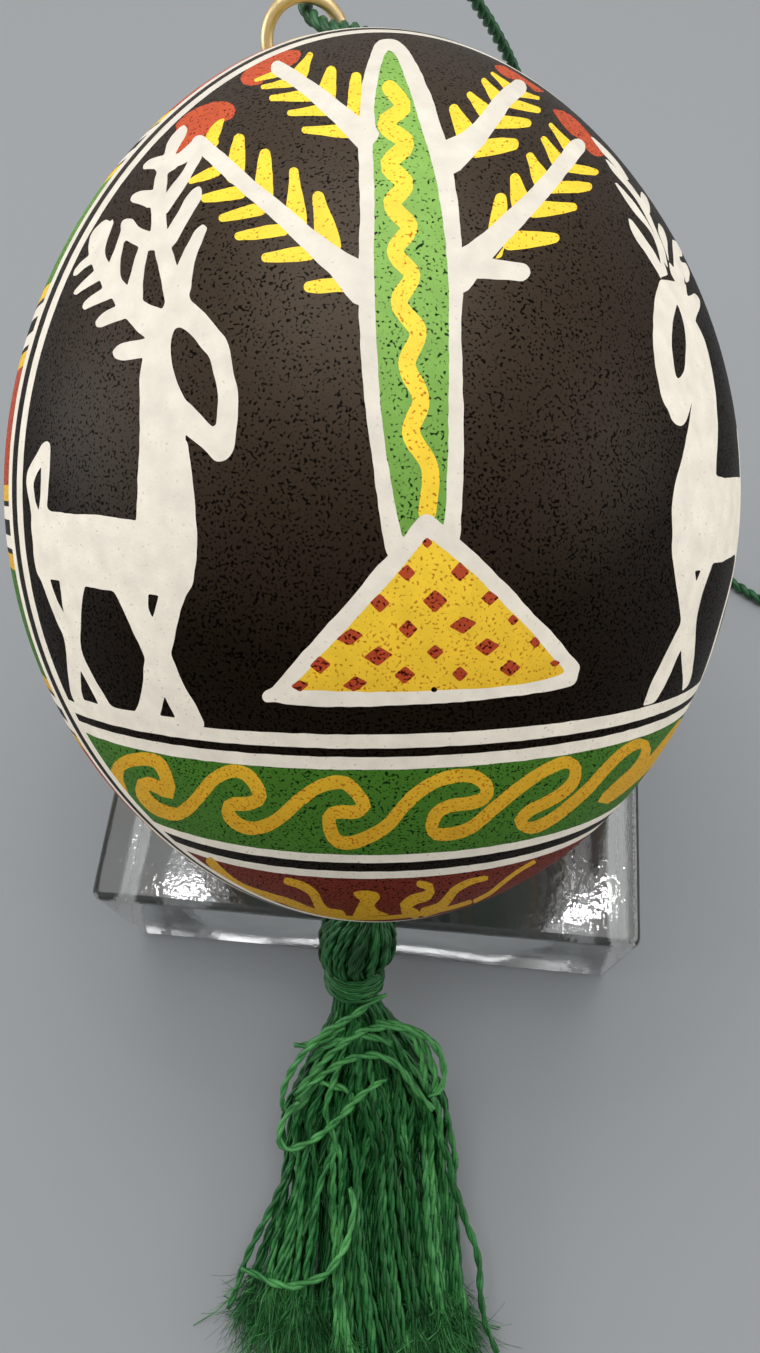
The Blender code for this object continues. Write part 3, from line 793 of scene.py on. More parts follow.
@dataclass
class FolkOrnament:
    """The egg's drawing: two framed panels with stags, and a belt of fields that runs between.

    Each panel's frame is two white lines at an even distance from the plane through the belt's
    middle, so that they bulge with the shell. A line is given as its middle's distance from that
    plane at the poles and at the egg's widest round, and its width. The back panel repeats the
    front one.
    """

    drawing: ShellDrawing = field(default_factory=ShellDrawing)
    panel_turn: float = math.radians(103.0)
    inner_line: tuple[float, float, float] = (8.6, 9.85, 1.05)
    outer_line: tuple[float, float, float] = (6.9, 7.85, 1.0)
    between: tuple[float, float, float] = (7.75, 8.85, 1.8)
    frame_step: float = 0.45
    leaf_hidden: float = 10.0
    ground_lines: tuple[tuple[float, float], ...] = ((30.21, 29.39), (28.88, 28.09), (21.58, 20.79),
                                                     (19.87, 19.05))
    green_band: tuple[float, float] = (28.2, 21.5)
    rust_top: float = 19.4
    wave_widths: tuple[float, ...] = (13, 13.5, 13.5, 13, 11.5, 7)
    trunk_wave_widths: tuple[float, ...] = (16, 18, 17, 18, 18)
    row_step: float = 0.4
    panel_count: int = 90
    belt_step: float = 0.5
    field_gap: float = 0.01
    bar_places: tuple[float, ...] = (5.7, 17.1, 28.5, 39.9, 51.3, 62.7, 74.1)
    bar_half: float = 1.5
    bar_parts: tuple[tuple[Dye, float, float], ...] = (
        (Dye.SHELL, 1.2, 0.45), (Dye.YELLOW, 2.4, 1.5))

    def offset(self, arc: np.ndarray, line: tuple[float, float, float]) -> np.ndarray:
        """How far a frame line's middle lies from the belt's middle plane, at an arc length."""
        share = (self.drawing.form.radius(arc) / (self.drawing.form.width / 2)) ** 2
        return line[0] + (line[1] - line[0]) * share

    def half_turn(self, arc: np.ndarray, line: tuple[float, float, float]) -> np.ndarray:
        """Half the panel's width in longitude, up to a frame line, at an arc length."""
        radius = np.maximum(self.drawing.form.radius(arc), 1e-6)
        return np.arccos(np.clip(self.offset(arc, line) / radius, -1, 1))

    def frame_loop(self, line: tuple[float, float, float], turn: float) -> np.ndarray:
        """Points on the shell along a whole frame line, which closes on itself."""
        form = self.drawing.form
        arcs = np.linspace(0, form.total, form.steps + 1)
        inside = arcs[form.radius(arcs) > self.offset(arcs, line)]
        half = self.half_turn(inside, line)
        turns = np.concatenate([turn - half, turn + half[::-1]])
        points = form.surface(turns, np.concatenate([inside, inside[::-1]]))
        return evenly(np.vstack([points, points[:1]]), self.frame_step)[:-1]

    def rows(self, high: float, low: float) -> np.ndarray:
        """Arc lengths from the lower to the upper end of a stretch."""
        return np.linspace(low, high, max(2, math.ceil((high - low) / self.row_step)))

    def fill(self, dye: Dye, arcs: np.ndarray, half: np.ndarray, middle: float, count: int) -> None:
        """Fill a stretch of the shell that lies evenly to both sides of one longitude.

        Args:
            dye: Its colour.
            arcs: Arc lengths from its lower to its upper end.
            half: Half its width in longitude at each of them.
            middle: The longitude of its middle.
            count: Points along each level end.
        """
        across = np.linspace(-1, 1, count)
        lower = np.stack([middle + across * half[0], np.full(count, arcs[0])], axis=1)
        upper = np.stack([middle - across * half[-1], np.full(count, arcs[-1])], axis=1)
        right = np.stack([middle + half, arcs], axis=1)[1:-1]
        left = np.stack([middle - half, arcs], axis=1)[1:-1][::-1]
        self.drawing.add(dye, self.drawing.to_map(np.vstack([lower, right, upper, left])))

    def panel_stretch(self, dye: Dye, high: float, low: float) -> None:
        """Fill the front panel between two arc lengths, out to the middle of its inner line."""
        arcs = self.rows(high, low)
        self.fill(dye, arcs, self.half_turn(arcs, self.inner_line), self.panel_turn, self.panel_count)

    def belt_stretch(self, dye: Dye, high: float, low: float, middle: float) -> None:
        """Fill half of the belt between two arc lengths, out to the middle of the outer line."""
        arcs = self.rows(high, low)
        half = math.pi / 2 - self.half_turn(arcs, self.outer_line)
        width = float(self.drawing.form.radius(arcs).max() * half.max())
        self.fill(dye, arcs, half, middle, max(3, math.ceil(width / self.belt_step)))

    def lay_belt(self) -> None:
        """Lay the belt's coloured fields, its cross bars and the line beside each bar."""
        ends = (self.drawing.low, *self.bar_places, self.drawing.high)
        gap, bar = self.field_gap, self.bar_half
        for middle in (self.panel_turn - math.pi / 2, self.panel_turn + math.pi / 2):
            for n, (low, high) in enumerate(zip(ends, ends[1:])):
                self.belt_stretch(Dye.RED if n % 2 == 0 else Dye.GREEN, high - gap, low + gap, middle)
            for place in self.bar_places:
                self.belt_stretch(Dye.BLACK, place + bar, place - bar, middle)
                for dye, far, near in self.bar_parts:
                    self.belt_stretch(dye, place + far, place + near, middle)
                    self.belt_stretch(dye, place - near, place - far, middle)

    def lay_ground(self) -> None:
        """Lay the rust foot of the panel, the green band and the four white lines across."""
        form, near_pole = self.drawing.form, slice(1500)
        foot = float(np.interp(self.inner_line[0], form.radii[near_pole], form.arcs[near_pole]))
        self.panel_stretch(Dye.RUST, self.rust_top, foot + 0.05)
        self.panel_stretch(Dye.GREEN, *self.green_band)
        for high, low in self.ground_lines:
            self.panel_stretch(Dye.SHELL, high, low)

    def lay_tree(self) -> None:
        """Lay the tree of life: branches, leaves and flowers, then the trunk and the mound."""
        drawing = self.drawing
        for outline in FLOWERS:
            drawing.patch(Dye.RED, outline)
        for x, y, far_x, far_y, first, last in LEAVES:
            self.lay_leaf([(x, y), (far_x, far_y)], (first, last))
        for outline in LEAF_PATCHES:
            drawing.patch(Dye.YELLOW, outline)
        for points, widths in BRANCHES:
            drawing.stroke(Dye.SHELL, points, widths)
        drawing.patch(Dye.SHELL, TRUNK_EDGE)
        drawing.patch(Dye.GREEN, TRUNK_CORE)
        drawing.stroke(Dye.YELLOW, TRUNK_WAVE, self.trunk_wave_widths)
        drawing.patch(Dye.SHELL, MOUND_EDGE, corner=6)
        drawing.patch(Dye.YELLOW, MOUND_FIELD, corner=4)
        for x, y, wide, high in MOUND_CHECKS:
            lean = 0.35 * (wide - high)
            corners = [(x - wide, y + lean), (x, y - high), (x + wide, y - lean), (x, y + high)]
            drawing.patch(Dye.CHECK, corners)
        drawing.patch(Dye.BLACK, MOUND_SPOT)

    def lay_leaf(self, points: Outline, widths: tuple[float, ...]) -> None:
        """Lay one leaf: a narrow tip, and a wide foot that runs on under its branch."""
        tip, foot = (points[0], points[-1]) if widths[0] < widths[-1] else (points[-1], points[0])
        narrow, wide = min(widths), max(widths)
        run = np.array(foot) - np.array(tip)
        under = np.array(foot) + run * self.leaf_hidden / np.linalg.norm(run)
        middle = np.array(tip) + 0.25 * run
        widths = (0.85 * narrow, 1.1 * narrow, 0.55 * (narrow + wide), 1.08 * wide, 1.08 * wide)
        self.drawing.stroke(Dye.YELLOW, [tip, tuple(middle), tuple(under)], widths)

    def lay_stags(self) -> None:
        """Lay the two stags that face the tree."""
        drawing = self.drawing
        for points, widths in ANTLER_TINES:
            drawing.stroke(Dye.SHELL, points, widths)
        drawing.patch(Dye.SHELL, HIDDEN_STAG_REAR, turned=True)
        for outline in (LEFT_STAG_BODY, LEFT_STAG_HEAD, LEFT_STAG_EAR, RIGHT_STAG, *RIGHT_ANTLERS):
            drawing.patch(Dye.SHELL, outline, corner=2.0)
        for outline in (*LEFT_STAG_HOLES, RIGHT_STAG_EYE, RIGHT_STAG_GAP):
            drawing.patch(Dye.BLACK, outline, corner=2.0)

    def lay(self) -> ShellDrawing:
        """Lay everything in the order of the dye baths, the lines of bare shell last.

        Returns:
            The finished drawing.
        """
        drawing = self.drawing
        self.lay_ground()
        drawing.stroke(Dye.YELLOW, BAND_WAVE, self.wave_widths)
        for points, widths in FLAMES:
            drawing.stroke(Dye.YELLOW, points, widths)
        drawing.patch(Dye.YELLOW, FLAME_PATCH)
        self.lay_tree()
        self.lay_stags()
        for dye, outline in list(drawing.shapes):
            drawing.shapes.append((dye, outline + np.array([drawing.round_trip / 2, 0.0])))
        self.lay_frame(self.between, Dye.BLACK)
        self.lay_belt()
        self.lay_frame(self.inner_line, Dye.SHELL)
        self.lay_frame(self.outer_line, Dye.SHELL)
        return drawing

    def lay_frame(self, line: tuple[float, float, float], dye: Dye) -> None:
        """Lay one frame line round both panels."""
        for turn in (self.panel_turn, self.panel_turn + math.pi):
            self.drawing.ribbon(dye, self.frame_loop(line, turn), line[2])


def link(obj: Object) -> Object:
    """Put an object in the scene and give it back."""
    bpy.context.scene.collection.objects.link(obj)
    return obj


def mesh_object(name: str, vertices: np.ndarray, faces: list) -> Object:
    """Make a smoothly shaded object from vertices in millimetres.

    Args:
        name: The object's name.
        vertices: One row for each vertex.
        faces: Vertex numbers of each face.

    Returns:
        The linked object, at the origin.
    """
    data = bpy.data.meshes.new(name)
    data.from_pydata((np.asarray(vertices) * MM).tolist(), [], [tuple(map(int, face)) for face in faces])
    data.polygons.foreach_set("use_smooth", [True] * len(data.polygons))
    data.update()
    return link(bpy.data.objects.new(name, data))


@dataclass(frozen=True)
class DyedShell:
    """One aniline dye on the eggshell, under varnish.

    Its colour is mixed by height from a low colour to a top colour, which paints light and shade
    onto the shell, with cloudy patches that vary it by a tenth. The shell's pores drink more of it, so
    each shows as a dark and less glossy speck.
    """

    name: str
    upper: str
    lower: str
    pore: str
    pore_from: float
    roughness: float = 0.5
    gloss: float = 0.2
    low_gloss: float = 0.35
    pore_gloss: float = 0.2
    shine: str = "ffffff"
    painted_light_heights: tuple[float, float] = (46.0, 63.0)
    pores_per_mm: float = 7.0
    pore_edge: float = 0.2
    clouds_per_mm: float = 0.8
    crowding: float = 0.2
    thinning: float = -0.05
    pit_depth: float = 0.03

    def build(self) -> Material:
        """Make the material.

        Returns:
            The material.
        """
        material, tree, shader = new_material(
            self.name, {"Specular Tint": linear(self.shine), "Roughness": self.roughness})
        specks = add_noise(tree, self.pores_per_mm, 0.0)
        cloud = add_noise(tree, self.clouds_per_mm, 6.0)
        low, high = self.painted_light_heights
        height = add_node(tree, "ShaderNodeMapRange", {"Value": add_height(tree)},
                          {"From Min": low * MM, "From Max": high * MM}).outputs["Result"]
        pore = self.pores(tree, specks, cloud, height)
        # Painted light and shade: the colour is mixed from the low colour to the top colour by height.
        ground = add_node(tree, "ShaderNodeMix", {0: height},
                          {6: linear(self.lower), 7: linear(self.upper)}, data_type="RGBA")
        colour = add_node(tree, "ShaderNodeMix", {0: pore, 6: ground.outputs[2]},
                          {7: linear(self.pore)}, data_type="RGBA")
        value = add_node(tree, "ShaderNodeMapRange", {"Value": cloud},
                         {"From Min": 0.25, "From Max": 0.75, "To Min": 0.9, "To Max": 1.1})
        mottled = add_node(tree, "ShaderNodeVectorMath",
                           {0: colour.outputs[2], "Scale": value.outputs[0]}, operation="SCALE")
        add_relief(tree, shader, specks, -self.pit_depth, 0.2)
        shine = add_node(tree, "ShaderNodeMapRange", {"Value": pore},
                         {"To Min": self.gloss, "To Max": self.pore_gloss * self.gloss})
        thinner = add_node(tree, "ShaderNodeMapRange", {"Value": height},
                           {"To Min": self.low_gloss, "To Max": 1.0})
        varnish = add_node(tree, "ShaderNodeMath", {0: shine.outputs[0], 1: thinner.outputs[0]},
                           operation="MULTIPLY")
        tree.links.new(mottled.outputs[0], shader.inputs["Base Color"])
        tree.links.new(varnish.outputs[0], shader.inputs["Specular IOR Level"])
        return material

    def pores(self, tree: NodeTree, specks: Socket, cloud: Socket, height: Socket) -> Socket:
        """Mask the pores: the peaks of a fine noise, denser in patches and sparser higher up.

        Args:
            tree: The material's node tree.
            specks: Noise with a grain of about 0.14 mm, which gives each pore its place and shape.
            cloud: Noise of about 1.2 mm, which crowds the pores in patches.
            height: 0 on the egg's lower part, 1 on its upper part.

        Returns:
            A socket that is 1 in a pore and 0 beside it.
        """
        crowd = add_node(tree, "ShaderNodeMath", {0: cloud, 2: specks}, {1: self.crowding},
                         operation="MULTIPLY_ADD")
        sparser = add_node(tree, "ShaderNodeMath", {0: height, 2: crowd.outputs[0]}, {1: self.thinning},
                           operation="MULTIPLY_ADD")
        pore = add_node(tree, "ShaderNodeMapRange", {"Value": sparser.outputs[0]},
                        {"From Min": self.pore_from, "From Max": self.pore_from + self.pore_edge},
                        interpolation_type="SMOOTHSTEP")
        return pore.outputs["Result"]


# Bare shell, which the wax kept, is a warm white with hardly a speck. Black is the last and deepest
# bath, and the glossiest on the upper part. Green and yellow are light, so their pores show as dark
# dots, and the reds, the brown and the mound's checks are deeper and more even. Each dye's top and
# low colours paint light and shade in: bare shell is painted darker on top and lighter below, black
# lighter and browner on top as a painted sheen and darker below as painted shade, and green lighter
# on top. Yellow's lemon top and golden low part are partly its own two shades and partly painted
# light, and the reds, the brown and the checks are painted a little darker below.
DYES: dict[Dye, DyedShell] = {
    Dye.SHELL: DyedShell("bare_eggshell_under_varnish", "d8d1c3", "faf0de", "c4b6a8", 0.79),
    Dye.BLACK: DyedShell("eggshell_dyed_black", "34281c", "19120c", "050302", 0.61, roughness=0.42,
                         gloss=0.26, low_gloss=0.16, shine="ffeedc", painted_light_heights=(55.0, 64.5)),
    Dye.GREEN: DyedShell("eggshell_dyed_green", "8ab656", "467626", "10280c", 0.65,
                         painted_light_heights=(53.0, 67.0)),
    Dye.YELLOW: DyedShell("eggshell_dyed_yellow", "f4d03a", "dfaa2a", "b8741c", 0.67),
    Dye.RED: DyedShell("eggshell_dyed_orange_red", "c0502c", "b04020", "601808", 0.62),
    Dye.RUST: DyedShell("eggshell_dyed_rust_brown", "7a3220", "782c1c", "200a06", 0.63),
    Dye.CHECK: DyedShell("eggshell_dyed_dark_red", "b04826", "a83c20", "401008", 0.6),
}


@dataclass
class DecoratedEgg:
    """The blown, dyed egg. Its drawing is cut into the shell's faces, which stay level."""

    ornament: FolkOrnament = field(default_factory=FolkOrnament)
    lip_depth: float = 0.5

    def build(self) -> Object:
        """Model the shell with its two small blown holes.

        Returns:
            The egg.
        """
        drawing = self.ornament.lay()
        places, faces, dyes = drawing.triangles()
        swap = self.seam_partners(places)
        faces = swap[faces]
        whole = (faces != np.roll(faces, 1, axis=1)).all(axis=1)
        rows, colours = [tuple(face) for face in faces[whole]], list(dyes[whole])
        vertices = drawing.lift(places)
        extra = [vertices]
        count = len(vertices)
        for height, inward in ((drawing.low, 1.0), (drawing.high, -1.0)):
            ring = [k for k in np.flatnonzero(np.abs(places[:, 1] - height) < 1e-4) if swap[k] == k]
            ring.sort(key=lambda k: places[k, 0])
            inner = vertices[ring] + drawing.form.axis * inward * self.lip_depth
            extra += [inner, inner.mean(axis=0, keepdims=True)]
            size = len(ring)
            for i in range(size):
                j = (i + 1) % size
                wall = (ring[i], count + i, count + j, ring[j])
                cap = (count + i, count + size, count + j)
                rows += [wall if inward > 0 else wall[::-1], cap if inward > 0 else cap[::-1]]
                # Each hole's wall is bare shell. Its cap is dyed black as painted shade, standing for the
                # dark hollow inside.
                colours += [int(Dye.SHELL), int(Dye.BLACK)]
            count += size + 1
        egg = mesh_object("dyed_eggshell", np.vstack(extra), rows)
        egg.data.polygons.foreach_set("material_index", np.array(colours, dtype=np.int32))
        for dye in Dye:
            egg.data.materials.append(DYES[dye].build())
        self.clean(egg)
        return egg

    def seam_partners(self, places: np.ndarray) -> np.ndarray:
        """The number that each point of the map goes by, so that the seam's two sides are one."""
        round_trip = self.ornament.drawing.round_trip
        first = {round(float(spot[1]), 3): k for k, spot in enumerate(places) if abs(spot[0]) < 1e-4}
        swap = np.arange(len(places))
        for k in np.flatnonzero(np.abs(places[:, 0] - round_trip) < 1e-4):
            swap[k] = first.get(round(float(places[k, 1]), 3), k)
        return swap

    def clean(self, egg: Object) -> None:
        """Drop loose points and turn every face outward, then give the shell its true normals."""
        work = bmesh.new()
        work.from_mesh(egg.data)
        bmesh.ops.delete(work, geom=[v for v in work.verts if not v.link_faces], context="VERTS")
        bmesh.ops.recalc_face_normals(work, faces=work.faces)
        work.to_mesh(egg.data)
        work.free()
        log.info("egg mesh mended: %s", egg.data.validate(verbose=True))
        form = self.ornament.drawing.form
        spots = np.array([v.co for v in egg.data.vertices]) / MM
        deep = np.abs(form.depth(spots))
        normals = form.normal(spots)
        own = np.array([v.normal for v in egg.data.vertices])
        normals[deep > 0.05] = own[deep > 0.05]
        egg.data.normals_split_custom_set_from_vertices(normals.tolist())


def frames(line: np.ndarray, hint: tuple[float, float, float]) -> tuple[np.ndarray, np.ndarray]:
    """Two directions square to a line at each of its points, carried along without twist.

    Args:
        line: Points along the line.
        hint: A direction that the line doesn't take at its start.

    Returns:
        Both directions, one row for each point.
    """
    ahead = np.gradient(line, axis=0)
    ahead /= np.linalg.norm(ahead, axis=1, keepdims=True)
    side = np.cross(ahead[0], hint)
    rows = []
    for step in ahead:
        side = side - step * (side @ step)
        side /= np.linalg.norm(side)
        rows.append(side)
    return np.array(rows), np.cross(ahead, np.array(rows))


def tube(line: np.ndarray, radii: np.ndarray, sides: int) -> tuple[np.ndarray, list]:
    """Sweep a round section along a line without twist, and close both ends.

    Args:
        line: Points along the middle, in millimetres.
        radii: The radius at each point.
        sides: Sides of the section.

    Returns:
        Vertices and faces.
    """
    first, second = frames(line, (0.3, 0.2, 0.9))
    angles = np.arange(sides) * 2 * math.pi / sides
    rings = (line[:, None] + radii[:, None, None] * (np.cos(angles)[None, :, None] * first[:, None]
                                                     + np.sin(angles)[None, :, None] * second[:, None]))
    last = (len(line) - 1) * sides
    faces = []
    for start in range(0, last, sides):
        for k in range(sides):
            m = (k + 1) % sides
            faces.append((start + k, start + m, start + sides + m, start + sides + k))
    faces.append(tuple(range(sides))[::-1])
    faces.append(tuple(range(last, last + sides)))
    return rings.reshape(-1, 3), faces


def gather(parts: list[tuple[np.ndarray, list]]) -> tuple[np.ndarray, list]:
    """Join several meshes' vertices and faces into one list each."""
    vertices, faces, count = [], [], 0
    for points, rows in parts:
        vertices.append(points)
        faces += [tuple(k + count for k in row) for row in rows]
        count += len(points)
    return np.vstack(vertices), faces


@dataclass(frozen=True)
class TwistedThread:
    """A thread of two plies laid round each other.

    A ply's radius and its distance from the middle are shares of the thread's diameter.
    """

    diameter: float
    pitch: float
    sides: int
    per_turn: int
    plies: int = 2
    ply_radius: float = 0.29
    ply_offset: float = 0.22

    def strand(self, route: np.ndarray, phase: float = 0.0,
               thin: np.ndarray | None = None) -> list[tuple[np.ndarray, list]]:
        """Twist the plies along a route.

        Args:
            route: Points along the thread's middle, in millimetres.
            phase: The twist's angle at the start, in radians.
            thin: Share of the full thickness at evenly spread places, or None for all of it.

        Returns:
            Vertices and faces of each ply.
        """
        line = evenly(route, self.pitch / self.per_turn)
        first, second = frames(line, (0.31, 0.22, 0.92))
        run = np.concatenate([[0.0], np.cumsum(np.linalg.norm(np.diff(line, axis=0), axis=1))])
        share = np.ones(len(line)) if thin is None else np.interp(
            run / run[-1], np.linspace(0, 1, len(thin)), thin)
        out = self.ply_offset * self.diameter * share[:, None]
        parts = []
        for n in range(self.plies):
            angle = phase + 2 * math.pi * (run / self.pitch + n / self.plies)
            offset = out * (np.cos(angle)[:, None] * first + np.sin(angle)[:, None] * second)
            parts.append(tube(line + offset, self.diameter * self.ply_radius * share, self.sides))
        return parts


@dataclass(frozen=True)
class DyedCotton:
    """Mercerised pearl cotton: painted shade near black between the fibres, with a bright shine along each
    thread.

    Mercerising swells the fibres round and smooth, so they shine in their own colour. Each thread
    took the dye a little differently, which its tone attribute says; the tone also carries painted
    shade and painted light.
    """

    name: str
    deep: str
    colour: str
    bright: str
    roughness: float = 0.36
    shine: str = "c4ecc4"
    gloss: float = 0.6
    fibres_per_mm: float = 9.0
    clouds_per_mm: float = 0.7
    fibre_shade_share: float = 0.45
    contrast: float = 0.4
    stops: tuple[float, float, float] = (0.1, 0.29, 0.52)
    fibre_depth: float = 0.04

    def build(self) -> Material:
        """Make the material; noise of about 0.1 mm stands for its fibres.

        Returns:
            The material.
        """
        material, tree, shader = new_material(self.name, {
            "Roughness": self.roughness, "Specular IOR Level": self.gloss,
            "Specular Tint": linear(self.shine)})
        fibres = add_noise(tree, self.fibres_per_mm, 3.0, 0.7)
        cloud = add_noise(tree, self.clouds_per_mm, 2.0)
        # Painted shade and light: the fibre noise that raises the relief also darkens its hollows and
        # lightens its crests, under a cloud of random tone.
        both = add_node(tree, "ShaderNodeMath", {0: fibres, 2: cloud}, {1: self.fibre_shade_share},
                        operation="MULTIPLY_ADD")
        tone = add_node(tree, "ShaderNodeAttribute", attribute_name=TONE)
        share = add_node(tree, "ShaderNodeMath", {0: both.outputs[0], 2: tone.outputs["Fac"]},
                         {1: self.contrast}, operation="MULTIPLY_ADD")
        colours = (self.deep, self.colour, self.bright)
        shades = ramp(tree, share.outputs[0], list(zip(self.stops, colours)))
        add_relief(tree, shader, fibres, self.fibre_depth, 0.4)
        tree.links.new(shades.outputs[0], shader.inputs["Base Color"])
        return material


def toned(name: str, parts: list[tuple[np.ndarray, list]], tones: list, material: Material) -> Object:
    """Make one object of several threads, each with its own tone.

    Args:
        name: The object's name.
        parts: Vertices and faces of each thread.
        tones: How much lighter (or, below zero, deeper) each thread or each of its points is.
        material: The thread's material.

    Returns:
        The linked object.
    """
    piece = mesh_object(name, *gather(parts))
    values = np.concatenate([np.broadcast_to(tone, len(points))
                             for (points, _), tone in zip(parts, tones, strict=True)])
    piece.data.attributes.new(TONE, "FLOAT", "POINT").data.foreach_set("value", values)
    piece.data.materials.append(material)
    return piece


@dataclass
class HangingCord:
    """The twisted cord from the blown hole, through the ring and over the egg, to its knot."""

    route: tuple[tuple[float, float, float], ...] = (
        (-2.03, 24.0, 57.5), (-2.7, 24.9, 57.3), (-3.8, 26.0, 56.8), (-5.2, 27.4, 56.1),
        (-6.3, 28.6, 55.85), (-7.0, 30.0, 55.7), (-7.4, 31.4, 55.9), (-7.2, 33.2, 56.4),
        (-5.9, 36.0, 57.2), (-3.6, 38.6, 56.8), (-0.8, 40.6, 55.0), (1.8, 42.4, 52.0), (3.9, 44.0, 48.2),
        (5.6, 46.0, 44.6), (7.2, 47.6, 41.0), (8.9, 49.2, 36.4), (11.0, 50.8, 29.5), (13.2, 51.6, 21.5),
        (15.6, 51.2, 13.5), (18.3, 49.2, 6.8), (21.3, 45.4, 2.4), (24.2, 40.6, 0.75), (26.5, 35.6, 0.6),
        (28.6, 30.4, 0.6), (31.2, 26.2, 0.6), (34.0, 22.9, 0.6), (36.5, 20.9, 0.6), (39.1, 19.2, 0.6),
        (42.6, 17.9, 0.6), (46.2, 18.8, 0.6), (48.4, 21.6, 0.6), (48.9, 25.2, 0.6))
    thread: TwistedThread = TwistedThread(1.05, 2.4, sides=8, per_turn=9)
    step: float = 0.5
    ply_tones: tuple[float, float] = (0.03, -0.03)
    knot_gap: float = 0.3
    knot_radius: float = 1.15
    knot_loop: tuple[float, float] = (0.598, 0.52)
    knot_start: float = 0.55
    knot_length: float = 0.95
    knot_turn: tuple[float, float] = (-0.2 * math.pi, 2.3 * math.pi)
    knot_points: int = 60
    core_places: tuple[float, ...] = (0.1, 0.7, 1.3, 1.8)
    tail_thin: tuple[float, ...] = (1.0, 1.0, 1.0, 1.1, 1.2)
    tail_floor: float = 0.55

    def middle(self) -> np.ndarray:
        """Points along the cord's middle, in millimetres."""
        return flowing(np.array(self.route), self.step)

    def length(self) -> float:
        """The cord's length, in millimetres."""
        return float(np.linalg.norm(np.diff(self.middle(), axis=0), axis=1).sum())

    def build(self, cotton: Material) -> Object:
        """Lay the cord's two plies along the route."""
        plies = self.thread.strand(self.middle())
        return toned("twisted_hanging_cord", plies, list(self.ply_tones), cotton)

    def build_knot(self, cotton: Material) -> Object:
        """Tie the overhand knot and its frayed tail beyond the cord's end."""
        middle = self.middle()
        heading = middle[-1] - middle[-2]
        heading /= np.linalg.norm(heading)
        up = np.array(WORLD_UP)
        across = np.cross(up, heading)
        start = middle[-1] + heading * self.knot_gap
        start[2] = self.knot_radius
        wide, high = self.knot_loop
        loops = np.array([start + heading * (self.knot_start + self.knot_length * share)
                          + across * wide * math.cos(angle) + up * high * math.sin(angle)
                          for share, angle in zip(np.linspace(0, 1, self.knot_points),
                                                  np.linspace(*self.knot_turn, self.knot_points))])
        tail = np.array([start + heading * (1.2 + 0.4 * k) + up * (-0.06 * k - 0.1) for k in range(9)])
        tail[:, 2] = np.maximum(tail[:, 2], self.tail_floor)
        core = np.array([start + heading * place for place in self.core_places])
        parts = self.thread.strand(loops) + self.thread.strand(core)
        parts += self.thread.strand(tail, thin=np.array(self.tail_thin))
        return toned("cord_end_knot", parts, [0.0] * len(parts), cotton)


@dataclass(frozen=True)
class BrassWire:
    """Drawn brass wire: pale and warm, with a soft shine that handling has dulled in places."""

    name: str = "bright_brass_wire"
    colour: str = "ecd09a"
    wear_per_mm: float = 2.6
    roughness: tuple[float, float] = (0.36, 0.5)

    def build(self) -> Material:
        """Make the material; patches of about 0.4 mm vary its shine."""
        material, tree, shader = new_material(
            self.name, {"Base Color": linear(self.colour), "Metallic": 1.0})
        wear = add_noise(tree, self.wear_per_mm, 3.0)
        low, high = self.roughness
        dulled = add_node(tree, "ShaderNodeMapRange", {"Value": wear},
                          {"From Min": 0.3, "From Max": 0.7, "To Min": low, "To Max": high})
        tree.links.new(dulled.outputs["Result"], shader.inputs["Roughness"])
        return material


@dataclass
class JumpRing:
    """The brass jump ring at the egg's upper end, wound a little over one turn."""

    centre: tuple[float, float, float] = (-7.05, 28.45, 54.35)
    facing: tuple[float, float, float] = (-0.164, 0.834, -0.526)
    radius: float = 2.3
    wire: float = 0.86
    turns: float = 1.3
    start: float = math.radians(-25.0)
    spread: float = 0.45
    lift: float = -0.75
    steps: int = 96
    sides: int = 20
    worn_end: float = 0.86

    def build(self) -> Object:
        """Wind the wire and ease its cut ends."""
        normal = np.array(self.facing) / np.linalg.norm(self.facing)
        across = np.cross(normal, WORLD_UP)
        across /= np.linalg.norm(across)
        up = np.cross(across, normal)
        turn = np.linspace(0, self.turns, self.steps + 1)
        angle = self.start - 2 * math.pi * turn
        radius = self.radius + self.spread * turn
        flat = np.cos(angle)[:, None] * across + np.sin(angle)[:, None] * up
        line = np.array(self.centre) + flat * radius[:, None] + normal * (self.lift * turn)[:, None]
        radii = np.full(len(line), self.wire / 2)
        radii[[0, -1]] *= self.worn_end
        ring = mesh_object("brass_jump_ring", *tube(line, radii, self.sides))
        ring.data.materials.append(BrassWire().build())
        return ring


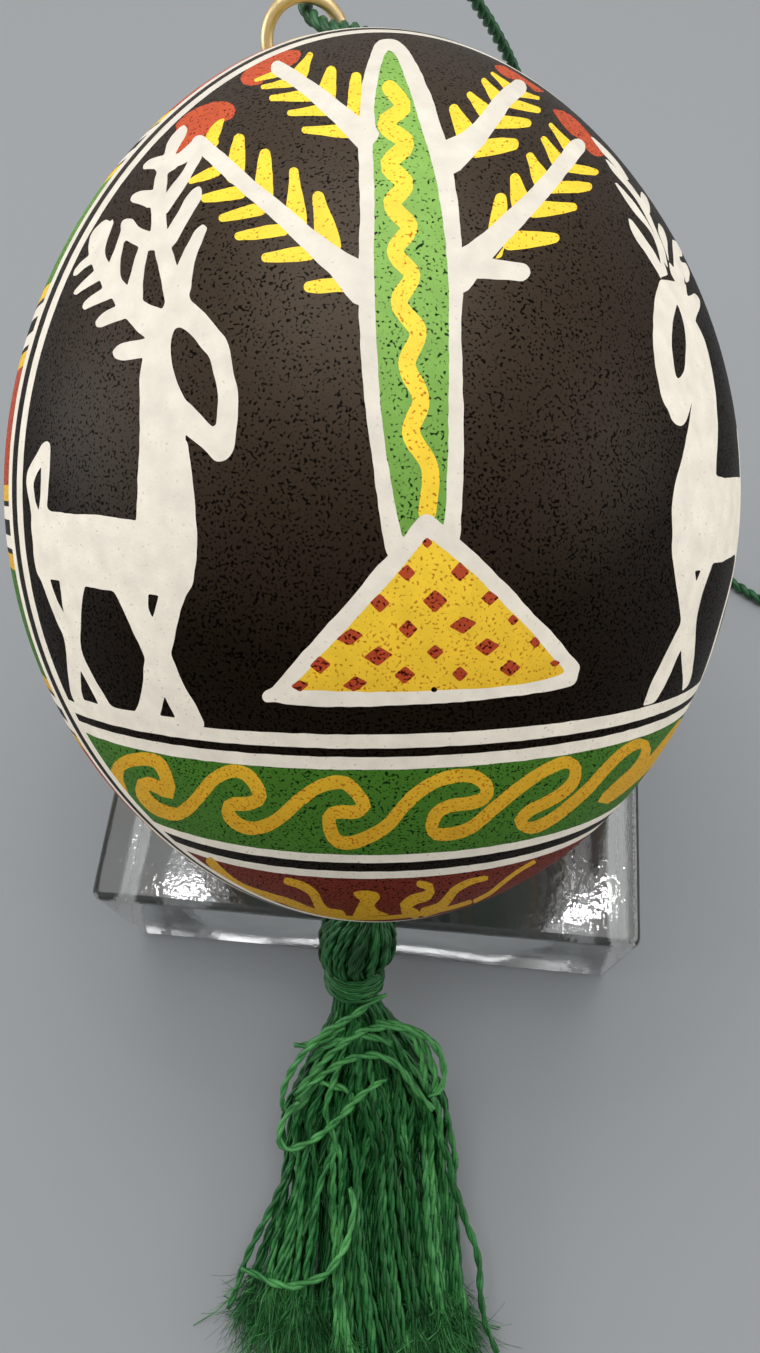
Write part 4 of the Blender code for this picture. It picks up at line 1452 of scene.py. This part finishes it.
LOOSE_STRANDS: list[tuple[Outline, float]] = [
    ([(386, 995), (372, 1001), (360, 1011), (342, 1022), (327, 1031), (315, 1041), (302, 1055),
      (292, 1070), (285, 1085), (282, 1100), (284, 1110)], 0.9),
    ([(429, 1097), (440, 1090), (444, 1075), (441, 1057), (432, 1042), (417, 1032), (400, 1027),
      (380, 1027), (362, 1031), (350, 1039), (335, 1050), (320, 1065), (307, 1080), (295, 1095)], 0.7),
    ([(387, 1079), (375, 1085), (360, 1096), (347, 1110), (335, 1122), (317, 1137), (300, 1146),
      (286, 1149), (279, 1140), (281, 1127), (287, 1114), (299, 1101)], 0.5),
    ([(297, 1099), (307, 1087), (322, 1075), (337, 1065), (355, 1057), (375, 1055), (390, 1060),
      (402, 1070), (412, 1085), (425, 1100), (433, 1110)], 0.6),
    ([(376, 1021), (400, 1025), (415, 1032), (425, 1047), (432, 1065), (436, 1080), (432, 1095)], 0.4),
    ([(392, 1024), (410, 1034), (420, 1052), (424, 1072), (426, 1092)], 0.3),
    ([(294, 1045), (310, 1045), (325, 1039), (344, 1026)], 0.5),
    ([(320, 1082), (335, 1086), (347, 1090), (352, 1098), (350, 1112)], 0.3),
    ([(310, 1062), (324, 1048), (345, 1038), (368, 1036), (392, 1044)], 0.3),
    ([(241, 1269), (252, 1272), (265, 1279), (280, 1285), (295, 1286), (310, 1281), (325, 1275),
      (337, 1260), (347, 1242), (352, 1220), (354, 1205), (350, 1188)], 0.5),
    ([(302, 1120), (290, 1167), (282, 1185), (272, 1207), (260, 1230), (250, 1250), (242, 1270),
      (236, 1290), (228, 1308)], -1.6),
    ([(424, 1100), (440, 1140), (450, 1162), (452, 1182), (460, 1202), (467, 1225), (475, 1245),
      (480, 1270), (480, 1290), (486, 1325), (497, 1353)], -1.6)]


@dataclass(frozen=True)
class Fray:
    """One kind of loose end at a strand's cut: how many, how far astray, how long and how thick."""

    count: int
    astray: float
    lengths: tuple[float, float]
    thickness: float


@dataclass
class ThreadTassel:
    """The tassel: pearl-cotton threads folded into a head, bound at the neck, spread on the floor."""

    path: tuple[tuple[float, float, float], ...] = (
        (1.2, -22.5, 23.2), (0.8, -23.3, 21.8), (0.3, -24.4, 20.0), (-0.1, -25.6, 18.0),
        (0.0, -26.2, 17.0), (0.05, -28.2, 14.1), (0.3, -29.3, 12.6), (0.7, -32.0, 9.7), (1.2, -35.2, 7.1),
        (1.7, -39.6, 4.9), (2.0, -45.0, 3.3), (2.1, -50.5, 2.3), (2.2, -55.5, 1.8), (2.2, -58.0, 1.6))
    half_width: tuple[float, ...] = (1.0, 2.7, 3.2, 2.75, 1.8, 1.8, 2.5, 4.6, 6.6, 7.5, 8.4, 9.7, 10.6, 10.7)
    half_thickness: tuple[float, ...] = (1.0, 2.3, 2.7, 2.4, 1.8, 1.8, 2.3, 2.7, 2.7, 2.5, 2.3, 2.0, 1.6,
                                         1.35)
    step: float = 0.4
    strand_count: int = 168
    head_count: int = 84
    strand_points: int = 70
    strand_sizes: tuple[float, float] = (0.86, 1.12)
    tone_spread: float = 0.11
    under_painted_shade: float = -0.06
    loose_step: float = 0.3
    loose_sizes: tuple[float, ...] = (0.8, 1.12, 1.12, 1.05, 0.85)
    thread: TwistedThread = TwistedThread(0.61, 3.4, sides=5, per_turn=7)
    under_thread: TwistedThread = TwistedThread(0.61, 3.4, sides=4, per_turn=6)
    wrap_thread: TwistedThread = TwistedThread(0.36, 3.0, sides=5, per_turn=8)
    neck_from: int = 4
    wrap_share: tuple[float, float] = (-0.2, 0.46)
    wrap_radius: float = 2.22
    wrap_turns: float = 10.4
    wrap_waver: tuple[float, float] = (0.035, 0.08)
    wrap_points: int = 420
    floor_gap: float = 0.36
    frays: tuple[Fray, ...] = (Fray(5, 0.12, (2.4, 4.6), 0.11), Fray(60, 0.22, (0.9, 3.6), 0.028))
    hair: Fray = Fray(4, 0.7, (0.5, 1.4), 0.03)
    seed: int = 11

    def __post_init__(self) -> None:
        """Lay out the bundle's middle line and its two cross directions."""
        self.rng = np.random.default_rng(self.seed)
        self.middle = flowing(np.array(self.path), self.step)
        marks = [int(np.argmin(np.linalg.norm(self.middle - np.array(p), axis=1))) for p in self.path]
        self.marks = np.array(marks) / (len(self.middle) - 1)
        ahead = np.gradient(self.middle, axis=0)
        self.ahead = ahead / np.linalg.norm(ahead, axis=1, keepdims=True)
        side = np.cross(self.ahead, WORLD_UP)
        self.side = side / np.linalg.norm(side, axis=1, keepdims=True)
        self.up = np.cross(self.side, self.ahead)

    def at(self, rows: np.ndarray, share: np.ndarray) -> np.ndarray:
        """Read one of the middle line's tables at places along the bundle."""
        steps = np.linspace(0, 1, len(rows))
        return np.stack([np.interp(share, steps, column) for column in rows.T], axis=1)

    def place(self, share: np.ndarray, across: np.ndarray, over: np.ndarray) -> np.ndarray:
        """Points in the bundle, in millimetres.

        Args:
            share: Places along the bundle, from 0 at the head's top to 1 at the skirt's end.
            across: Sideways places, in shares of the half width.
            over: Upward places, in shares of the half thickness.

        Returns:
            One point for each place.
        """
        wide = np.interp(share, self.marks, self.half_width) - self.thread.diameter / 2
        thick = np.interp(share, self.marks, self.half_thickness) - self.thread.diameter / 2
        spot = (self.at(self.middle, share) + self.at(self.side, share) * (across * wide)[:, None]
                + self.at(self.up, share) * (over * thick)[:, None])
        spot[:, 2] = np.maximum(spot[:, 2], self.floor_gap)
        return spot

    def route(self, n: int) -> tuple[np.ndarray, bool]:
        """Lay out one strand: straight in the head, tangled below the neck, drawn in at the tip.

        Args:
            n: The strand's number. They fill the bundle's section in a sunflower spiral.

        Returns:
            Points along it, in millimetres, and whether it lies in the upper layers.
        """
        radius = math.sqrt((n + 0.5) / self.strand_count)
        in_head = n >= self.strand_count - self.head_count
        angle = n * math.pi * (3 - math.sqrt(5)) + self.rng.normal(0.0, 0.12)
        start = 0.0 if in_head else float(self.marks[self.neck_from]) + 0.02
        side = radius * math.cos(angle)
        end = 0.81 + 0.13 * math.exp(-((side - 0.05) / 0.32) ** 2) + 0.02 * self.rng.random()
        share = np.linspace(start, end, self.strand_points)
        looser = np.clip((share - self.marks[6]) / (1 - self.marks[6]), 0, 1)
        tangle = 0.05 + 0.35 * np.exp(-((share - self.marks[8]) / 0.14) ** 2) + 0.1 * looser
        drift = np.array([noise.noise_vector(Vector((n * 7.3, s * 4.2, 0.5))) for s in share])
        across = side + drift[:, 0] * tangle
        over = radius * math.sin(angle) + drift[:, 1] * tangle * 2.2
        swept = max(0.0, 1 - abs(side) * 1.05)
        across = across - 0.45 * swept * np.clip((share - 0.62) / 0.38, 0, 1) ** 1.5
        above = over[self.strand_points // 2] > -0.3
        return self.place(share, np.clip(across, -1.04, 1.04), np.clip(over, -1, 1)), above

    def on_top(self, pixels: Outline, lift: float) -> np.ndarray:
        """Points above the bundle, seen at pixels of the photograph.

        Args:
            pixels: Points in the photograph.
            lift: Height above the bundle's upper face, in millimetres.

        Returns:
            One point for each pixel, in millimetres.
        """
        rays = VIEW.ray(np.array(pixels, dtype=float))
        start = np.array(VIEW.place)
        behind = self.middle[::-1, 1]
        top = self.middle[::-1, 2] + np.interp(np.linspace(0, 1, len(behind)), self.marks,
                                               self.half_thickness)[::-1]
        height = np.full(len(rays), 8.0)
        for _ in range(8):
            points = start + rays * ((height - start[2]) / rays[:, 2])[:, None]
            height = np.maximum(np.interp(points[:, 1], behind, top) + lift, self.floor_gap)
        return points

    def build(self, cotton: Material) -> list[Object]:
        """Lay every strand, in an upper and an under piece, then the loose ones and the fray.

        Args:
            cotton: The threads' material.

        Returns:
            The tassel's pieces, without its wound neck.
        """
        upper, under, ends = ([], []), ([], []), []
        for n in range(self.strand_count):
            route, above = self.route(n)
            phase = self.rng.random() * 2 * math.pi
            size = self.rng.uniform(*self.strand_sizes)
            tone = self.rng.uniform(-self.tone_spread, self.tone_spread)
            ends.append((route, tone))
            thread, (parts, tones) = (self.thread, upper) if above else (self.under_thread, under)
            plies = thread.strand(route, phase, np.array([size, size]))
            parts += plies
            # Painted shade: strands in the under piece are darker, and strands near the head get a painted
            # shadow from the egg above.
            own_tone = tone + (0.0 if above else self.under_painted_shade)
            tones += [own_tone - self.head_shade(points) for points, _ in plies]
        pieces = [toned("tassel_upper_threads", *upper, cotton),
                  toned("tassel_under_threads", *under, cotton),
                  self.build_loose(cotton)]
        middle = float(np.median([route[-1, 0] for route, _ in ends]))
        for name, left in (("left", True), ("right", False)):
            near = [(route, tone) for route, tone in ends if (route[-1, 0] < middle) == left]
            pieces.append(toned(f"tassel_fray_{name}", *self.fray(near), cotton))
        return pieces

    def build_loose(self, cotton: Material) -> Object:
        """Lay the loose strands over the bundle; each that lies proud gets painted light, a lighter tone
        than the rest.
        """
        parts, tones = [], []
        for pixels, lift in LOOSE_STRANDS:
            line = flowing(self.on_top(pixels, lift), self.loose_step)
            parts += self.thread.strand(line, 1.0, np.array(self.loose_sizes))
            # Painted light: strands lifted above the bundle are lighter, the others a little darker.
            tones += [0.12 if lift > 0 else -0.02] * self.thread.plies
        return toned("tassel_loose_strands", parts, tones, cotton)

    def head_shade(self, points: np.ndarray) -> np.ndarray:
        """How much darker the threads near the head are painted, a painted shadow from the egg above."""
        return 0.07 * np.clip((points[:, 1] + 36.0) / 9.0, 0.0, 1.0)

    def fray(self, ends: list[tuple[np.ndarray, float]]) -> tuple[list, list[float]]:
        """Open each strand's cut end into wisps and fibres, and let hairs stand out along it.

        Args:
            ends: Each strand's route and tone.

        Returns:
            Vertices and faces of each wisp, fibre and hair, and its tone.
        """
        parts, tones = [], []
        for route, tone in ends:
            heading = route[-1] - route[-6]
            heading /= np.linalg.norm(heading)
            for kind in self.frays:
                for _ in range(kind.count):
                    lean = self.rng.normal(0.0, kind.astray, 3) * np.array([1.0, 1.0, 0.6])
                    start = route[-1] + heading * self.rng.uniform(-1.6, 1.8) + lean
                    length = self.rng.uniform(*kind.lengths)
                    parts.append(self.fibre(start, heading + lean, length, kind.thickness))
                    tones.append(tone + self.rng.uniform(-0.1, 0.1))
            for _ in range(self.hair.count):
                spot = self.rng.integers(12, 68)
                ahead = route[spot + 1] - route[spot]
                lean = self.rng.normal(0.0, self.hair.astray, 3) + np.array([0.0, 0.0, 0.4])
                length = self.rng.uniform(*self.hair.lengths)
                parts.append(self.fibre(route[spot], ahead / np.linalg.norm(ahead) + lean, length,
                                        self.hair.thickness))
                tones.append(0.1)
        return parts, tones

    def fibre(self, start: np.ndarray, heading: np.ndarray, length: float,
              thick: float) -> tuple[np.ndarray, list]:
        """Curl one fibre, thick at its root and thin at its tip, and keep it within the tassel's reach.

        Args:
            start: Its root, in millimetres.
            heading: The direction in which it leaves its root.
            length: Its rough length.
            thick: Its radius at the root.

        Returns:
            Its vertices and faces.
        """
        heading = heading / np.linalg.norm(heading)
        curl = self.rng.normal(0.0, 0.65, 3)
        wave = self.rng.normal(0.0, 0.06, 3)
        run = np.linspace(0, 1, 6)[:, None]
        line = start + length * (heading * run + curl * run ** 2 * 0.6 + wave * np.sin(5.0 * run))
        line[:, 1] = np.maximum(line[:, 1], self.path[-1][1])
        line[:, 2] = np.maximum(line[:, 2], thick)
        return tube(line, np.linspace(thick, thick * 0.4, 6), 3)

    def build_wrap(self, cotton: Material) -> Object:
        """Wind the neck's thread, a little unevenly."""
        low, high = self.marks[self.neck_from], self.marks[self.neck_from + 1]
        run = np.linspace(0, 1, self.wrap_points)
        angle = 2 * math.pi * self.wrap_turns * run
        waver = np.array([noise.noise(Vector((4.0 * a, 0.3, 0.7))) for a in run * self.wrap_turns])
        first, last = self.wrap_share
        along, out = self.wrap_waver
        share = low + (high - low) * (first + (last - first) * run + along * waver)
        radius = (self.wrap_radius + out * np.roll(waver, 60))[:, None]
        line = self.at(self.middle, share) + radius * (np.cos(angle)[:, None] * self.at(self.side, share)
                                                       + np.sin(angle)[:, None] * self.at(self.up, share))
        return toned("tassel_wrap_thread", self.wrap_thread.strand(line), [0.0, -0.08], cotton)


@dataclass(frozen=True)
class CastAcrylic:
    """Colourless cast acrylic with a faint grey body, flame-polished or left as it was sawn.

    Polished, it is clear with a slight ripple, and its underside is painted grey, a painted shadow that
    darkens the floor seen through the block. Sawn, it is a frosted white that throws light back and
    lets none through, so the foot is a bright line.
    """

    name: str
    roughness: float
    transmission: float
    density: float
    underside: str = "a8acaa"
    clear: str = "fcfdfd"
    body: str = "c0c4c2"
    index: float = 1.49
    ripples_per_mm: float = 1.5
    ripple_depth: float = 0.013
    painted_shadow_heights: tuple[float, float] = (0.03, 0.06)

    def build(self) -> Material:
        """Make the material.

        Returns:
            The material.
        """
        material, tree, shader = new_material(self.name, {
            "Roughness": self.roughness, "Transmission Weight": self.transmission, "IOR": self.index})
        add_relief(tree, shader, add_noise(tree, self.ripples_per_mm, 2.0), self.ripple_depth, 1.0)
        height = add_node(tree, "ShaderNodeMath", {0: add_height(tree)}, {1: 1 / MM}, operation="MULTIPLY")
        # Painted shadow: the underside is painted grey, which darkens the floor seen through the block.
        stops = list(zip(self.painted_shadow_heights, (self.underside, self.clear)))
        tree.links.new(ramp(tree, height.outputs[0], stops).outputs[0], shader.inputs["Base Color"])
        if self.density > 0:
            smoke = add_node(tree, "ShaderNodeVolumeAbsorption", None,
                             {"Color": linear(self.body), "Density": self.density})
            tree.links.new(smoke.outputs[0], tree.nodes["Material Output"].inputs["Volume"])
        return material


@dataclass
class AcrylicBlock:
    """The clear acrylic block, with a shallow dish that holds the egg.

    Its foot edge is wider than its upper ones, and is sawn between two small heights.
    """

    side: float = 45.0
    height: float = 16.0
    corner: float = 0.9
    arris: float = 0.6
    foot_arris: float = 0.9
    sawn: tuple[float, float] = (0.02, 0.7)
    dish_radius: float = 12.0
    dish_depth: float = 1.2
    dish_fineness: int = 192
    smooth_angle: float = math.radians(12)
    finishes: tuple[CastAcrylic, ...] = (CastAcrylic("clear_cast_acrylic", 0.03, 1.0, 16.0),
                                         CastAcrylic("sawn_acrylic_edge", 0.4, 0.0, 0.0))

    def build(self) -> Object:
        """Cut the block, round its edges and grind the dish.

        Returns:
            The block.
        """
        bpy.ops.object.select_all(action="DESELECT")
        bpy.ops.mesh.primitive_cube_add(size=1.0, location=(0.0, 0.0, self.height / 2 * MM))
        block = bpy.context.object
        block.name = "clear_block"
        block.scale = (self.side * MM, self.side * MM, self.height * MM)
        bpy.ops.object.transform_apply(location=True, rotation=False, scale=True)
        self.round_edges(block)
        self.grind_dish(block)
        bpy.ops.object.shade_smooth_by_angle(angle=self.smooth_angle)
        for finish in self.finishes:
            block.data.materials.append(finish.build())
        for face in block.data.polygons:
            face.material_index = int(self.sawn[0] < face.center.z / MM < self.sawn[1])
        return block

    def round_edges(self, block: Object) -> None:
        """Bevel the upright edges, then the level ones above and at the foot, and mark the saw's reach."""
        middle = self.height / 2 * MM
        work = bmesh.new()
        work.from_mesh(block.data)
        for rises, above, width, steps in ((True, True, self.corner, 5), (False, True, self.arris, 3),
                                           (False, False, self.foot_arris, 3)):
            found = []
            for edge in work.edges:
                upright = abs(edge.verts[0].co.z - edge.verts[1].co.z) > middle
                side = upright or (edge.verts[0].co.z > middle) == above
                if upright == rises and side and edge.calc_face_angle(0.0) > 1.0:
                    found.append(edge)
            bmesh.ops.bevel(work, geom=found, offset=width * MM, segments=steps, profile=0.5, affect="EDGES")
            work.normal_update()
        whole = [*work.verts, *work.edges, *work.faces]
        bmesh.ops.bisect_plane(work, geom=whole, plane_co=(0.0, 0.0, self.sawn[1] * MM), plane_no=WORLD_UP)
        work.to_mesh(block.data)
        work.free()

    def grind_dish(self, block: Object) -> None:
        """Take a shallow cap of a ball out of the block's top."""
        ball = (self.dish_radius ** 2 + self.dish_depth ** 2) / (2 * self.dish_depth)
        place = (0.0, 0.0, (self.height - self.dish_depth + ball) * MM)
        bpy.ops.mesh.primitive_uv_sphere_add(segments=self.dish_fineness, ring_count=self.dish_fineness,
                                             radius=ball * MM, location=place)
        grinder = bpy.context.object
        cut = block.modifiers.new("dish", "BOOLEAN")
        cut.operation = "DIFFERENCE"
        cut.object = grinder
        bpy.ops.object.select_all(action="DESELECT")
        block.select_set(True)
        bpy.context.view_layer.objects.active = block
        bpy.ops.object.modifier_apply(modifier=cut.name)
        bpy.data.objects.remove(grinder)


@dataclass(frozen=True)
class SoftLight:
    """One square light, placed in metres, that looks at the middle of the block."""

    name: str
    place: tuple[float, float, float]
    side: float
    power: float
    aim: tuple[float, float, float] = (0.0, 0.0, 0.03)

    def build(self) -> None:
        """Make the light."""
        data = bpy.data.lights.new(self.name, "AREA")
        data.shape = "SQUARE"
        data.size = self.side
        data.energy = self.power
        light = link(bpy.data.objects.new(self.name, data))
        light.location = self.place
        light.rotation_euler = (Vector(self.aim) - Vector(self.place)).to_track_quat("-Z", "Y").to_euler()


@dataclass
class Studio:
    """A pale floor in a soft room that is brighter above and behind, with five lights.

    A wide light overhead and two side panels give the even light and the block's bright edges. Two
    small lamps give the glints in its top.
    """

    floor_side: float = 2.4
    floor_drop: float = 0.00003
    floor_colour: str = "8d9092"
    floor_roughness: float = 0.85
    room_colour: str = "f4f6f8"
    room_dim: float = 0.05
    room_bright: float = 0.48
    room_fade: tuple[float, float] = (-0.4, 0.2)
    bright_side: tuple[float, float, float] = (0.0, 0.4, 0.916)
    lights: tuple[SoftLight, ...] = (
        SoftLight("overhead_light", (0.0, 0.09, 0.38), 0.34, 1.12),
        SoftLight("left_panel", (-0.42, -0.02, 0.16), 0.3, 0.9),
        SoftLight("right_panel", (0.42, -0.02, 0.16), 0.3, 0.65),
        SoftLight("left_lamp", (-0.12, 0.067, 0.42), 0.016, 0.05),
        SoftLight("right_lamp", (0.072, 0.078, 0.42), 0.016, 0.05))

    def build(self) -> None:
        """Make the floor, the room's own light and the lights in it."""
        self.build_floor()
        self.build_room()
        bpy.context.scene.view_settings.view_transform = "Standard"
        for light in self.lights:
            light.build()

    def build_floor(self) -> None:
        """Lay a matt pale board just under the block."""
        bpy.ops.object.select_all(action="DESELECT")
        bpy.ops.mesh.primitive_plane_add(size=self.floor_side, location=(0.0, 0.0, -self.floor_drop))
        floor = bpy.context.object
        floor.name = "studio_floor"
        values = {"Base Color": linear(self.floor_colour), "Roughness": self.floor_roughness}
        floor.data.materials.append(new_material("pale_studio_floor", values)[0])

    def build_room(self) -> None:
        """Light the room evenly, dim below and in front, bright above and behind."""
        world = bpy.data.worlds.new("studio_room")
        world.use_nodes = True
        tree = world.node_tree
        ground = tree.nodes["Background"]
        ground.inputs["Color"].default_value = linear(self.room_colour)
        towards = add_node(tree, "ShaderNodeTexCoord").outputs["Generated"]
        facing = add_node(tree, "ShaderNodeVectorMath", {0: towards}, {1: self.bright_side},
                          operation="DOT_PRODUCT")
        low, high = self.room_fade
        strength = add_node(tree, "ShaderNodeMapRange", {"Value": facing.outputs["Value"]},
                            {"From Min": low, "From Max": high, "To Min": self.room_dim,
                             "To Max": self.room_bright})
        tree.links.new(strength.outputs[0], ground.inputs["Strength"])
        bpy.context.scene.world = world


def dress(pieces: list[Object], node: str) -> None:
    """Hand pieces over to the frame: they ride the body and stand for one CAD node."""
    for piece in pieces:
        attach(piece, BODY)
        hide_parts(node)
        log.info("%s: %d triangles", piece.name,
                 sum(len(face.vertices) - 2 for face in piece.data.polygons))


def main() -> None:
    """Build every piece in order, then the studio and the camera."""
    # Without a seed of its own the vector noise starts anew each run, and the drawing with it.
    noise.seed_set(NOISE_SEED)
    cotton = DyedCotton("green_pearl_cotton", "042709", "185726", "569c56").build()
    cord_cotton = DyedCotton("dark_green_cord_cotton", "0a2012", "1c482a", "3c6c48").build()
    dress([DecoratedEgg().build()], "egg")
    dress([AcrylicBlock().build()], "display_block")
    dress([JumpRing().build()], "hanging_ring")
    hanging = HangingCord()
    cord = hanging.build(cord_cotton)
    knot = hanging.build_knot(cord_cotton)
    dress([cord], "hanging_cord")
    dress([knot], "cord_knot")
    middle = hanging.middle() * MM
    hanging.length() * MM
    tassel = ThreadTassel()
    dress(tassel.build(cotton), "tassel_threads")
    dress([tassel.build_wrap(cotton)], "tassel_wrap")
    Studio().build()
    VIEW.build()


if __name__ == "__main__":
    main()
